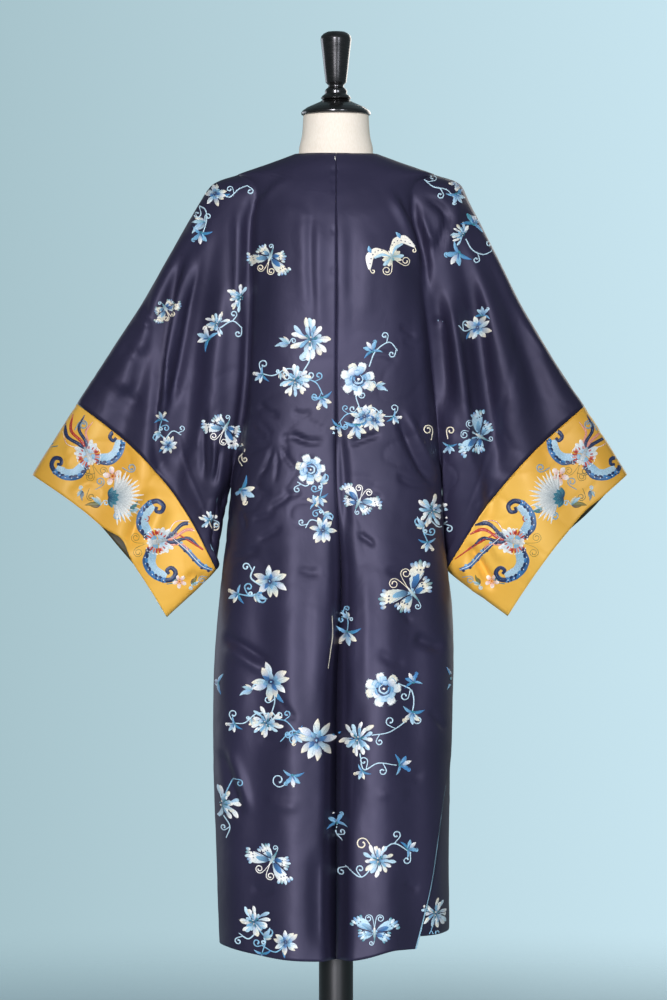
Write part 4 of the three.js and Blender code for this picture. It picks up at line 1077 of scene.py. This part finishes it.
def leaf_spray(size=18, colour=BLUE, tip=PALE):
    """Curled leaves, one split into lobes, and a curl."""
    made = petal((0, 0), 96, size, size * 0.17, colour, tip, 0.45, 0, LEAFLIKE)
    made += petal((0, 0), 60, size * 0.8, size * 0.15, TEAL, PALE, 0.35, 1, LEAFLIKE)
    made += petal((0, 0), 30, size * 0.62, size * 0.13, colour, CREAM, 0.5, 0, LEAFLIKE)
    made += petal((0, 0), 148, size * 0.66, size * 0.13, NAVY, tip, -0.5, 0, LEAFLIKE)
    return made + curl((0, 0), -10, size * 0.4, PALE, -1)


def butterfly(size=36, seed=0, light=CREAM):
    """A butterfly seen from above, its wings broad and scalloped, with long spiral feelers."""
    made = []
    for hand in (1, -1):
        tilt = 5 * ((seed + (hand > 0)) % 3)
        for turn, reach, half, bend in ((40 + tilt, 1.0, 0.27, -0.3), (112 + tilt, 0.6, 0.22, 0.2)):
            way = 90 - hand * turn
            made += petal((0, 0), way, size * reach, size * half, SKY, light, hand * bend, 0,
                          (0.1, 0.32, 0.6, 0.85, 1.0, 0.96, 0.7), 0.06)
            end = polar(size * reach, way) + polar(size * reach * bend * hand, way + 90)
            made += petal((0, 0), way + 2, size * reach * 0.7, size * half * 0.5, NAVY,
                          (BLUE, SKY)[hand > 0], hand * bend, 1, LOBE, 0.24)
            for k, scallop in zip((-2, -1, 0, 1, 2), (0.2, 0.24, 0.3, 0.24, 0.2)):
                spot = end + polar(size * half * 0.46 * k, way + 90)
                fringe = (BLUE, SKY, TEAL, PALE)[(k + seed) % 4]
                made += petal(spot - polar(size * 0.08, way), way + 12 * k, size * scallop,
                              size * half * 0.26, (light, IVORY)[k % 2], fringe, 0, 1, LOBE)
                if abs(k) < 2:
                    made += knot(spot - polar(size * 0.16, way), size * 0.035, NAVY, 2)
                    vein = [polar(size * 0.22 * reach, way + 7 * k), spot - polar(size * 0.26, way)]
                    made += stroke(vein, [0.3, 0.6, 0.3], (NAVY, BLUE)[k % 2], None, 1, 5)
        made += curl((0, size * 0.22), 90 - hand * 10, size * 0.4, light, -hand, 1.4, 0.8, 1.3)
    made += curl((0, -size * 0.3), -80, size * 0.24, PALE, 1, 1.1, 0.8, 0.9)
    body = [(0, size * 0.26), (0, 0), (0, -size * 0.38)]
    return made + stroke(body, [0.9, 2.2, 2.0, 0.8], IVORY, TEAL, 3, 8)


def moth(size=40, seed=0, light=CREAM):
    """A butterfly seen from the side: two long curved wings with dotted edges, hooked ends and feelers."""
    made = []
    for hand in (1, -1):
        line = [(hand * 2, 0), (hand * size * 0.34, size * 0.34), (hand * size * 0.72, size * 0.36),
                (hand * size * 0.98, -size * 0.08)]
        wing = [size * w for w in (0.06, 0.15, 0.13, 0.19, 0.15, 0.17, 0.12, 0.05)]
        made += stroke(line, wing, light, IVORY, 0, 18)
        inner = [(x * 0.86, y * 0.6) for x, y in line[:-1]]
        made += stroke(inner, [size * w for w in (0.02, 0.06, 0.07, 0.03)], SKY, PALE, 1, 10)
        for k in range(6):
            x = size * (0.22 + 0.13 * k)
            made += knot((hand * x, size * (0.35 + 0.08 * k - 0.026 * k * k)), size * 0.028, NAVY, 2)
        for k, reach in enumerate((0.4, 0.46, 0.36)):
            made += petal((0, 0), -90 + hand * (26 + 24 * k), size * reach, size * 0.085, TEAL,
                          (light, PALE)[k % 2], hand * 0.3, 1, LOBE)
        made += petal((hand * size * 0.62, size * 0.44), 90 - hand * 20, size * 0.26, size * 0.08, BLUE,
                      SKY, hand * 0.5, 1, LEAFLIKE)
        made += curl((hand * size * 0.97, -size * 0.06), -90, size * 0.16, light, -hand, 0.8, 1.0)
        made += curl((0, -size * 0.08), -90 - hand * 30, size * 0.38, light, -hand, 1.4, 0.8, 1.3)
    return made + stroke([(0, size * 0.22), (0, 0), (0, -size * 0.2)], [1.0, 2.4, 1.0], IVORY, TEAL, 3, 8)


def vine(points, colour=PALE, width=1.1, curls=()):
    """A stem through given points, with tendrils at places along it."""
    made = stroke(points, [width, width, width * 0.8], colour, None, 0, 8 * len(points))
    line = smooth_line(points, 41)
    for place, hand, size in curls:
        i = min(int(place * 40), 39)
        way = line[i + 1] - line[i]
        heading = np.degrees(np.arctan2(way[1], way[0]))
        made += curl(line[i], heading + hand * 55, size, colour, hand, 1.0, width * 0.9)
    return made


def flower(kind, size, seed=0):
    return {"chrysanthemum": chrysanthemum, "peony": peony, "lotus": lotus}[kind](size, seed)


def sprig(seed=0, kind="lotus", size=18):
    """A short flowering twig: a flower, a bud on a curved stem, a leaf and curls."""
    made = vine([(0, 4), (6, -14), (-4, -30)], SKY, 1.0, [(0.35, 1, 9), (0.7, -1, 10)])
    made += vine([(2, 0), (-14, -8), (-24, 2)], PALE, 1.0, [(0.8, 1, 9)])
    made += placed(leaf_spray(14), (5, -12), -80)
    made += placed(flower(kind, size, seed), (0, 10), 10 + 40 * (seed % 3))
    return made + placed(bud(12, CREAM), (-4, -30), 170)


def branch(seed=0, kind="chrysanthemum", second="chrysanthemum"):
    """A long spray: a large flower, a scrolling stem, a second flower, leaves and buds."""
    made = vine([(0, 0), (-2, -30), (-14, -54), (-8, -72)], PALE, 1.15,
                [(0.3, -1, 11), (0.55, 1, 12), (0.85, -1, 10)])
    made += vine([(-12, -50), (-36, -44), (-58, -54), (-78, -50)], PALE, 1.1, [(0.4, 1, 11), (0.95, -1, 14)])
    made += vine([(-10, -58), (8, -66), (18, -84)], SKY, 1.1, [(0.4, 1, 11), (0.9, -1, 12)])
    made += placed(flower(kind, 31, seed), (0, 0))
    made += placed(flower(second, 24, seed + 1), (-24, -62), 30)
    made += placed(leaf_spray(20), (-34, -6), 70)
    made += placed(bud(14), (-74, -52), 120) + placed(bud(17, CREAM), (16, -88), 200)
    return made + placed(leaf_spray(13, BLUE, CREAM), (-46, -50), 190)


# Where the motifs lie on the back, seen from behind: right of the centre seam and height, and where they
# aren't upright, full size or as drawn, also turn, size and whether mirrored.
BACK_MOTIFS = [
    (butterfly(30, 1), -100, 1288, 160),
    (moth(40, 2), 84, 1288, 28, 1.0, True),
    (stroke([(0, 3), (0.4, -3)], [0.5, 0.7, 0.5], IVORY, None, 0, 4), -1.8, 1440),
    (branch(3, "chrysanthemum", "chrysanthemum"), -38, 1160),
    (branch(5, "peony", "lotus"), 34, 1100, -12, 0.86, True),
    (vine([(-10, -22), (2, 0), (24, 12), (36, -2)], PALE, 1.1, [(0.6, 1, 11), (0.95, -1, 10)])
     + placed(bud(16, SKY), (-2, 0), 20), 58, 1142, 6),
    (placed(bud(20, CREAM), (-6, 0), 190) + placed(lotus(19, 1), (22, 8), 200), 36, 1030),
    (sprig(8, "peony", 21), -34, 952, 24, 1.1),
    (sprig(9, "lotus", 21), -22, 880, 190, 1.05, True),
    (butterfly(29, 4, IVORY), 34, 912, -24),
    (sprig(10, "chrysanthemum", 20), 144, 888, -14, 1.2, True),
    (curl((0, 0), 80, 16, CREAM, 1, 1.4), 146, 1008),
    (vine([(0, 30), (6, 18), (-4, 6), (2, -6)], CREAM, 1.1, [(0.5, 1, 9)]), -146, 974),
    (placed(bud(22, CREAM), (0, 0), 236), -146, 932),
    (sprig(12, "lotus", 20), -112, 786, -62, 1.3),
    (butterfly(42, 6), 116, 774, 40, 1.0, True),
    (placed(bud(20, CREAM), (0, 0), 178)
     + vine([(0, 0), (2, 18), (-6, 32)], SKY, 1.1, [(0.6, 1, 9), (0.9, -1, 8)])
     + placed(leaf_spray(13), (2, 20), 20), 17, 716, 4),
    (branch(14, "lotus", "chrysanthemum"), -98, 640, 14, 0.95),
    (placed(lotus(30, 15), (0, 0), 90) + vine([(-8, 4), (-34, 14), (-52, -2)], SKY, 1.1, [(0.6, 1, 12)]),
     -30, 552, 0, 1.05),
    (placed(bud(17, SKY), turn=180) + curl((0, 0), 230, 22, PALE, -1, 1.1), -66, 500),
    (peony(27, 16), 72, 630),
    (vine([(14, 10), (36, -4), (34, -38), (4, -62), (-26, -68)], PALE, 1.1,
          [(0.2, -1, 13), (0.5, 1, 13), (0.72, -1, 14), (0.9, 1, 11)])
     + placed(bud(18, CREAM), (36, -34), 175)
     + placed(bud(15, BLUE), (38, 10), 20), 80, 628),
    (placed(chrysanthemum(27, 17), size=0.95), 34, 554),
    (vine([(2, -20), (8, -44), (30, -34), (58, -38)], PALE, 1.1, [(0.4, 1, 13), (0.75, -1, 12)])
     + placed(bud(17, BLUE), (62, -38), -80) + placed(bud(13, CREAM), (6, -46), 150), 34, 552),
    (chrysanthemum(27, 18, -90, 190) + vine([(4, 14), (14, 34), (18, 40)], SKY, 1.1, [(0.9, -1, 11)])
     + vine([(2, -18), (12, -34), (6, -52)], PALE, 1.1, [(0.5, -1, 10)]), -174, 452),
    (placed(bud(17, CREAM), (0, 0), 90), -180, 636),
    (placed(bud(18, CREAM), (0, 0), -80), 176, 642),
    (stroke([(0, 40), (1, 12), (-2, -12), (-6, -40)], [0.6, 1.0, 0.7], CREAM, None, 0, 16), -6, 700),
    (placed(bud(17, SKY), (0, 0), 6) + vine([(0, 0), (-4, -14), (4, -26)], PALE, 1.1, [(0.6, 1, 9)]),
     2, 424, 8),
    (butterfly(34, 7, IVORY), -96, 372, 150),
    (placed(chrysanthemum(25, 20), (0, 0), 20)
     + vine([(4, 12), (24, 24), (50, 8)], PALE, 1.1, [(0.5, 1, 13), (1, -1, 12)])
     + vine([(-6, -6), (-26, -26), (-50, -10)], PALE, 1.1, [(0.5, -1, 12), (0.95, 1, 12)])
     + curl((-8, 14), 120, 19, CREAM, 1) + placed(bud(15, SKY), (44, 14), -60), 64, 372),
    (butterfly(31, 8, PALE), 58, 262, 0, 1.0, True),
    (sprig(21, "chrysanthemum", 20), -120, 264, 20, 1.2),
    (placed(lotus(20, 22), (0, 0), -20) + vine([(0, -4), (-16, -16), (-36, -8)], SKY, 1.1), -76, 248),
    # the left sleeve
    (placed(lotus(19, 3), (-14, -4), 70)
     + vine([(-6, -2), (8, -10), (22, 2), (36, 8)], PALE, 1.1, [(0.5, 1, 10), (1, -1, 10)]),
     -172, 1392),
    (placed(chrysanthemum(17, 5, 120, 150), (-14, 22), 0)
     + vine([(-12, 30), (2, 22), (4, 2), (-4, -22)], PALE, 1.1, [(0.1, -1, 13)])
     + placed(leaf_spray(24, BLUE, PALE), (2, 2), 100) + placed(bud(17, SKY), (-4, -14), 170),
     -204, 1342),
    (chrysanthemum(21, 6, 60, 190), -146, 1226, 10),
    (placed(chrysanthemum(17, 7, 30, 260), (0, 8), 0) + placed(bud(18, IVORY), (-12, -14), 60)
     + vine([(4, 2), (22, 12), (36, 2)], PALE, 1.1, [(0.5, 1, 10), (1, -1, 10)]), -182, 1178, 0, 1.05),
    (butterfly(21, 8), -264, 1212, -150),
    (butterfly(30, 9, IVORY), -170, 1028, 150),
    (sprig(11, "lotus", 15), -262, 1010, 200),
    (chrysanthemum(16, 31, 30, 200) + curl((-2, 0), -70, 13, CREAM) + curl((2, 2), -20, 10, PALE, -1),
     -194, 884),
    # the right sleeve
    (vine([(-32, 18), (-18, 6), (2, 2), (14, -10)], PALE, 1.1, [(0.1, 1, 12), (0.5, -1, 11)])
     + placed(bud(16, PALE), (16, -4), -150) + placed(lotus(15, 1), (20, 14), 0), 168, 1392),
    (placed(chrysanthemum(16, 9, 40, 220), (-10, 6), 0)
     + vine([(-6, 0), (4, -16), (20, -22), (34, -16)], PALE, 1.1, [(0.5, -1, 10), (1, 1, 11)])
     + placed(bud(20, SKY), (-16, -20), 140) + placed(bud(19, TEAL), (6, 22), -10),
     206, 1318, 0, 1.05),
    (placed(lotus(21, 2), (6, 0), -60) + vine([(0, 0), (-14, -6), (-24, 2)], PALE, 1.1, [(0.6, -1, 11)])
     + placed(bud(13, PALE), (14, 18), 0), 212, 1182),
    (butterfly(33, 11, PALE), 222, 1014, 62),
    (curl((0, 0), 100, 13, CREAM, -1) + placed(bud(12, PALE), (2, -10), 180), 172, 1010),
    # the front panel's edge, inside the open slit
    (chrysanthemum(21, 12)
     + vine([(0, -4), (-6, -22), (-10, -30)], SKY, 1.1, [(0.6, 1, 10)]),
     152, 284),
]

# And on the front, seen from the front.
FRONT_MOTIFS = [
    (moth(40, 21), -88, 1252, -24),
    (butterfly(32, 22), 92, 1262, 150, 1.0, True),
    (branch(23, "peony", "chrysanthemum"), -70, 1120, 0, 0.95),
    (branch(24, "chrysanthemum", "lotus"), 66, 1130, 8, 0.9, True),
    (sprig(25, "lotus", 20), 120, 950, 150, 1.2),
    (butterfly(30, 26, IVORY), -116, 952, -30),
    (sprig(27, "chrysanthemum", 20), -40, 884, 20, 1.2, True),
    (butterfly(38, 28), 62, 812, 35, 1.0, True),
    (sprig(29, "peony", 21), -120, 776, -60, 1.2),
    (branch(30, "chrysanthemum", "peony"), 84, 680, 6, 0.95, True),
    (branch(31, "lotus", "chrysanthemum"), -58, 640, -8, 0.95),
    (sprig(32, "chrysanthemum", 20), 130, 470, 40, 1.1),
    (butterfly(33, 33, IVORY), -96, 430, 150),
    (chrysanthemum(26, 34)
     + vine([(4, -12), (24, -26), (48, -12)], PALE, 1.1, [(0.5, -1, 13), (1, 1, 12)]),
     48, 392),
    (moth(34, 35, PALE), 76, 300, 168, 1.0, True),
    (sprig(36, "lotus", 20), -78, 306, 30, 1.1),
    # the sleeves
    (sprig(37, "lotus", 16), -196, 1300, 40, 1.1),
    (sprig(38, "chrysanthemum", 18), 200, 1292, -30, 1.1, True),
    (butterfly(27, 39), -214, 1160, 150),
    (branch(40, "chrysanthemum", "lotus"), 262, 1130, 20, 0.7, True),
    (moth(36, 41), -232, 1000, 20, 1.0, True),
    (sprig(42, "peony", 19), 204, 962, 190, 1.1),
]


def band_butterfly(size=1.0, plumes=CORAL):
    """A large butterfly for the gold bands: long pale blue wings, edged in navy scallops with white dots
    that roll up in hooks, combs of coral bars by the white body, and a tail of ribbons."""
    made = []
    for hand in (1, -1):
        made += stroke([(hand * 4, 2), (hand * 19, 15), (hand * 38, 20), (hand * 56, 13), (hand * 68, -6)],
                       [5, 10, 12, 10.5, 9.5, 9, 5], SKY, PALE, 0, 20)
        edge = [(hand * 14, 22), (hand * 32, 30), (hand * 50, 27), (hand * 66, 17), (hand * 76, 2)]
        made += stroke(edge, [2, 4.6, 5.2, 4.6, 4.8], NAVY, BLUE, 1, 22)
        for k, (x, y) in enumerate(smooth_line(edge, 9)):
            made += knot((x, y - 2), 5.2, (NAVY, BLUE)[k % 3 == 2], 1)
        for x, y in smooth_line(edge, 7):
            made += knot((x, y), 1.3, IVORY, 3)
        hook = [(hand * x, y) for x, y in ((76, 4), (77, -14), (66, -24), (55, -18), (58, -8), (66, -11))]
        made += stroke(hook, [4.8, 4.8, 4.2, 3.4, 3.0], NAVY, NAVY, 1, 22)
        made += stroke(hook[:-1], [0.7, 0.8, 0.6], SKY, None, 2, 16)
        for k in range(6):
            way = 90 - hand * (24 + 17 * k)
            bar = [polar(13, way), polar(22, way)]
            made += stroke(bar, [1.6, 2.1, 1.6], (CORAL, CORAL, ROSE)[k % 3], None, 2, 5)
            made += stroke([polar(24, way - 5), polar(25, way + 7)], [0.7, 1.1, 0.7], IVORY, None, 2, 5)
        for k in range(3):
            made += petal((hand * 3, -6), -90 + hand * (30 + 28 * k), 27 - 3 * k, 5.2, SKY, IVORY,
                          hand * 0.12, 1, LOBE)
            made += stroke([polar(14, -90 + hand * (26 + 26 * k)), polar(20, -90 + hand * (27 + 26 * k))],
                           [1.4, 1.9, 1.4], CORAL, None, 2, 5)
        made += curl((0, 18), 90 - hand * 12, 20, OLIVE, -hand, 1.7, 0.7, 1.2)
    tails = ((-88, 92, plumes, 3.6), (-75, 88, NAVY, 4.4), (-103, 84, NAVY, 4.0), (-116, 70, ROSE, 2.6),
             (-62, 74, plumes, 1.4))
    for turn, reach, colour, half in tails:
        tail = [(0, -14), polar(reach * 0.35, turn), polar(reach * 0.7, turn + 9), polar(reach, turn - 5)]
        made += stroke(tail, [half * 0.5, half, half * 0.85, half, half * 0.25], colour, None, 0, 18)
        made += stroke(tail, [0.5, 0.8, 0.4], PALE if colour == NAVY else IVORY, None, 1, 16)
    for way in (-40, 0, 40):
        made += petal((0, 8), 90 + way, 12, 3.4, GREY, IVORY, 0, 3, LOBE)
    made += stroke([(0, 16), (0, 0), (0, -20)], [2.4, 5.0, 4.2, 1.6], IVORY, GREY, 3, 9)
    for k in range(3):
        made += stroke([(-3, 2 - 6 * k), (3, 2 - 6 * k)], [0.6, 1.0, 0.6], (OLIVE, CORAL)[k % 2], None, 4, 5)
    return placed(made, size=size)


def plum_blossom(size=16):
    """Five round white petals with a ring of gold knots."""
    made = []
    for k in range(5):
        made += petal((0, 0), 72 * k + 18, size, size * 0.3, ROSE, IVORY, 0, 0, LOBE, 0.2)
        made += knot(polar(size * 0.34, 72 * k + 54), size * 0.07, OLIVE)
    return made + knot((0, 0), size * 0.12, CORAL)


def side_chrysanthemum(size=44):
    """A white chrysanthemum seen from the side, in a navy cup, its long petals fanned to the right."""
    made = []
    for k, angle in enumerate(range(-68, 72, 8)):
        reach = size * (0.78 + 0.22 * cos(radians(angle))) * (1.0, 0.9, 0.96)[k % 3]
        made += petal((0, 0), angle, reach, size * 0.055, GREY, IVORY, 0.2 * sin(radians(angle)), k % 2,
                      LEAFLIKE, 0.15)
    for angle in (-70, -42, -14, 14, 42, 70):
        made += petal((-5, 0), angle, size * 0.34, size * 0.09, NAVY, TEAL, 0, 2, LEAFLIKE)
        made += stroke([np.array((-5, 0)) + polar(3, angle), np.array((-5, 0)) + polar(size * 0.3, angle)],
                       [0.3, 0.6, 0.3], IVORY, None, 3, 4)
    return made


def ribbon(points, half=4.2):
    """A navy ribbon with scalloped edges and a pale line down its middle."""
    made = stroke(points, [half * 0.4, half, half, half, half * 0.5], NAVY, BLUE, 0, 22)
    for k, at in enumerate(smooth_line(points, 11)[1:-1]):
        made += knot(at + np.array((0, half * (0.8 if k % 2 else -0.8))), half * 0.55, (NAVY, SKY)[k % 2], 1)
    return made + stroke(points, [0.6, 0.7, 0.5], IVORY, None, 2, 22)


def band_motifs(change=0):
    """The gold band's needlework, for the band on the viewer's left."""
    return [
        (band_butterfly(0.76, (CORAL, ROSE)[change]), -382, 984, -156),
        (plum_blossom(15), -345, 953, 10 + 20 * change),
        (side_chrysanthemum(50), -346, 920, 8 * change),
        (leaf_spray(22, LEAF, OLIVE), -364, 908, 60),
        (leaf_spray(17, LEAF, TEAL), -318, 900, -70, 1.0, bool(change)),
        (curl((0, 0), 30, 14, GREY, 1, 1.3), -372, 932),
        (curl((0, 0), 200, 12, OLIVE, -1, 1.4, 0.8), -372, 958),
        (curl((0, 0), 250, 13, OLIVE, 1, 1.4, 0.8), -381, 934),
        (band_butterfly(0.8, (ROSE, CORAL)[change]), -276, 852, 100),
        (ribbon([(-30, 20), (-4, 6), (22, -12), (40, -16)]), -228, 832, -12),
        (stroke([(-26, 30), (6, 12), (40, -12)], [0.8, 2.2, 0.8], CORAL, None, 0, 14), -224, 836),
        (plum_blossom(11), -242, 790, 30),
        (leaf_spray(15, LEAF, OLIVE), -224, 786, -60),
        (curl((0, 0), 10, 12, TEAL, 1, 1.3), -262, 786),
        (curl((0, 0), 170, 12, GREY, 1, 1.3), -196, 796),
        (curl((0, 0), -70, 12, CORAL, 1, 1.2), -302, 896),
        (curl((0, 0), 190, 13, TEAL, -1, 1.2), -430, 1000),
        (curl((0, 0), 60, 15, GREY, -1, 1.4, 1.3), -404, 1024),
        (curl((0, 0), -30, 14, GREY, 1, 1.3, 1.2), -330, 966),
        (curl((0, 0), 120, 13, SKY, 1, 1.3, 1.2), -326, 884),
        (curl((0, 0), -100, 13, GREY, -1, 1.4, 1.2), -246, 872),
        (leaf_spray(14, NAVY, GREY), -392, 930, 150),
    ]


def opposite(strokes, right, up, turn=0, size=1.0, mirror=False):
    """A motif's row for the other side."""
    return strokes, -right, up, -turn, size, not mirror


def motif_strokes(rows):
    """All strokes of the motifs in some rows, each at its place."""
    made = []
    for strokes, right, up, *pose in rows:
        made += placed(strokes, (right, up), *pose)
    return made


def needlework(name, batches, cloths):
    """Strokes laid on the first cloth met from behind or from the front: one mesh for each cloth."""
    trees = [BVHTree.FromObject(c, bpy.context.evaluated_depsgraph_get()) for c in cloths.values()]
    parts = [([], [], []) for _ in trees]

    def lay(right, up, proud, behind, found):
        way = Vector((0, -1 if behind else 1, 0))
        eye = Vector(((-right if behind else right) * MM, -way.y, up * MM))
        hits = [(hit[3], k, hit) for k, tree in enumerate(trees) if (hit := tree.ray_cast(eye, way))[0]]
        if not hits:
            return None
        _, k, (point, normal, _, _) = min(hits, key=lambda hit: hit[0])
        found.append(k)
        return point + normal * (proud * MM) if abs(normal.y) > COVER else None

    for strokes, behind in batches:
        for line, half, base, tip, layer in strokes:
            spread = DOMES[half.max() >= FULL]
            way_on = np.gradient(line, axis=0)
            length = np.hypot(*way_on.T)[:, None]
            across = np.stack([-way_on[:, 1], way_on[:, 0]], -1) / np.maximum(length, 1e-6)
            laid, found = [], []
            for centre, side, wide in zip(line, across, half):
                for place, rise in spread:
                    right, up = centre + side * wide * place
                    proud = LAYER * layer + rise * min(PROUD, 0.25 + 0.25 * wide) - SUNK * (rise == 0)
                    laid.append(lay(right, up, proud, behind, found))
            n = len(spread)
            reach = 3 * MM * (length.max() + half.max()) + LEAP * MM
            sound = [all(p is not None for p in laid[i * n : i * n + n]) for i in range(len(line))]
            sound = [fine and (i == 0 or not sound[i - 1] or (laid[i * n] - laid[i * n - n]).length < reach)
                     for i, fine in enumerate(sound)]
            if sum(sound) < 3:
                continue
            verts, faces, colours = parts[found[len(found) // 2]]
            shades = [np.array(linear(base)), np.array(linear(tip))]
            for i, fine in enumerate(sound):
                if not fine:
                    continue
                verts += laid[i * n : i * n + n]
                colours += [mix(shades[0], shades[1], (i / (len(line) - 1)) ** 0.7)] * n
                if i and sound[i - 1]:
                    first = len(verts) - 2 * n
                    faces += [(a, a + 1, a + n + 1, a + n) for a in range(first, first + n - 1)]
    pieces = {}
    for side, (verts, faces, colours) in zip(cloths, parts):
        mesh = bpy.data.meshes.new(f"{name}_{side}")
        mesh.from_pydata(verts, [], faces)
        shade = mesh.color_attributes.new("floss", "FLOAT_COLOR", "POINT")
        shade.data.foreach_set("color", np.array(colours, np.float32).ravel())
        mesh.shade_smooth()
        mesh.materials.append(FLOSS)
        pieces[side] = bpy.data.objects.new(f"{name}_{side}", mesh)
        bpy.context.collection.objects.link(pieces[side])
    return pieces


# ---- the dress form and its stand -----------------------------------------------------------------------
BUST = named("z half depth", [
    (709, 80, 50), (716, 110, 68), (732, 131, 79), (765, 144, 86), (805, 150, 90), (855, 152, 92),
    (905, 149, 90), (955, 139, 86), (1005, 125, 80), (1050, 117, 76), (1100, 122, 80), (1150, 132, 86),
    (1200, 139, 89), (1250, 142, 88), (1300, 147, 82), (1340, 154, 72), (1365, 162, 62), (1384, 169, 50),
    (1396, 172, 40), (1404, 167, 26), (1411, 167.7, 24), (1420, 142.8, 35), (1432, 109.7, 47),
    (1442, 82, 47.5), (1449, 60.6, 46), (1462, 57, 47), (1482, 52.6, 48), (1511.5, 50.6, 49),
])
# Each turned piece: the height that it starts at, and its outline as radius and height above that.
CAP = (1511.8, [(0, 0), (51, 0), (53.6, 1.4), (54, 4), (52, 7), (45, 12), (34, 17), (25, 21), (20, 24.5),
                (0, 24.5)])
FINIAL = (1536.6, [(0, 0), (21.5, 0), (23.6, 2), (21, 5.5), (17, 8.5), (17.4, 13), (15.5, 16), (12, 19),
                   (12, 22), (16.2, 26.5), (18.6, 46), (21.4, 72), (24, 93), (23, 98), (19, 102),
                   (14, 104.5), (0, 104.5)])
POLE = (42.3, [(0, 0), (26.5, 0), (26.5, 333), (26.5, 666.4), (0, 666.4)])
BASE = (0, [(0, 0), (182, 0), (185, 3), (185, 11), (180, 16), (60, 20), (40, 28), (34, 42), (0, 42)])


def rings(name, rows, columns=96):
    """A closed form from rows of height, half width and depth."""
    z, half, depth = (np.array(values)[:, None] for values in zip(*rows))
    around = np.linspace(0, 2 * pi, columns, endpoint=False)[None, :]
    points = np.stack(np.broadcast_arrays(half * np.cos(around), depth * np.sin(around), z), -1)
    mesh = surface_mesh(name, [points], closed=(0,))
    bm = bmesh.new()
    bm.from_mesh(mesh)
    bmesh.ops.holes_fill(bm, edges=bm.edges, sides=0)
    bmesh.ops.recalc_face_normals(bm, faces=bm.faces)
    bm.to_mesh(mesh)
    bm.free()
    made = bpy.data.objects.new(name, mesh)
    bpy.context.collection.objects.link(made)
    mesh.shade_smooth()
    return made


def turned(name, start, outline):
    """A piece turned on a lathe, its outline rounded between the turner's marks."""
    line = []
    for (r, z), (next_r, next_z) in zip(outline, outline[1:]):
        line += [(start + mix(z, next_z, s), mix(r, next_r, s)) for s in (0.02, 0.5, 0.98)]
    return rings(name, [(z, max(r, 0.05), max(r, 0.05)) for z, r in line])


def bust():
    """The covered bust, from its rounded lower edge to the top of its neck."""
    z = np.concatenate([np.linspace(709, 1404, 110), np.linspace(1406, 1511.5, 50)])
    return rings("bust_cover", list(zip(z, read(BUST, "half", z), read(BUST, "depth", z))), 128)


STAND = {
    "form_torso": (bust(), JERSEY, "jersey_cream"),
    "form_cap": (turned("neck_cap", *CAP), LACQUER, "turned_wood_black"),
    "form_finial": (turned("finial", *FINIAL), LACQUER, "turned_wood_black"),
    "stand_pole": (turned("pole", *POLE), PAINT, "painted_steel_black"),
    "stand_base": (turned("base_plate", *BASE), PAINT, "painted_steel_black"),
}
for node, (piece, finish, slot) in STAND.items():
    piece.data.materials.append(finish)
    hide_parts(node)
    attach(piece, "root")

# ---- the needlework -------------------------------------------------------------------------------------
BAND_MOTIFS = band_motifs() + [opposite(*row) for row in band_motifs(1)]
BEHIND, AHEAD = True, False  # the side of the robe that a batch of strokes lies on
ROBE_BATCHES = [(motif_strokes(BACK_MOTIFS), BEHIND), (motif_strokes(FRONT_MOTIFS), AHEAD)]
BAND_BATCHES = [(motif_strokes(BAND_MOTIFS), BEHIND), (motif_strokes(BAND_MOTIFS), AHEAD)]
STITCHED = needlework("embroidery", ROBE_BATCHES, CLOTHS)
BAND_STITCHED = needlework("band_embroidery", BAND_BATCHES, BANDS)
for side in SIDES:
    for piece, slot in ((STITCHED[side], "satin_aubergine"), (BAND_STITCHED[side], "satin_gold")):
        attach(piece, "root")
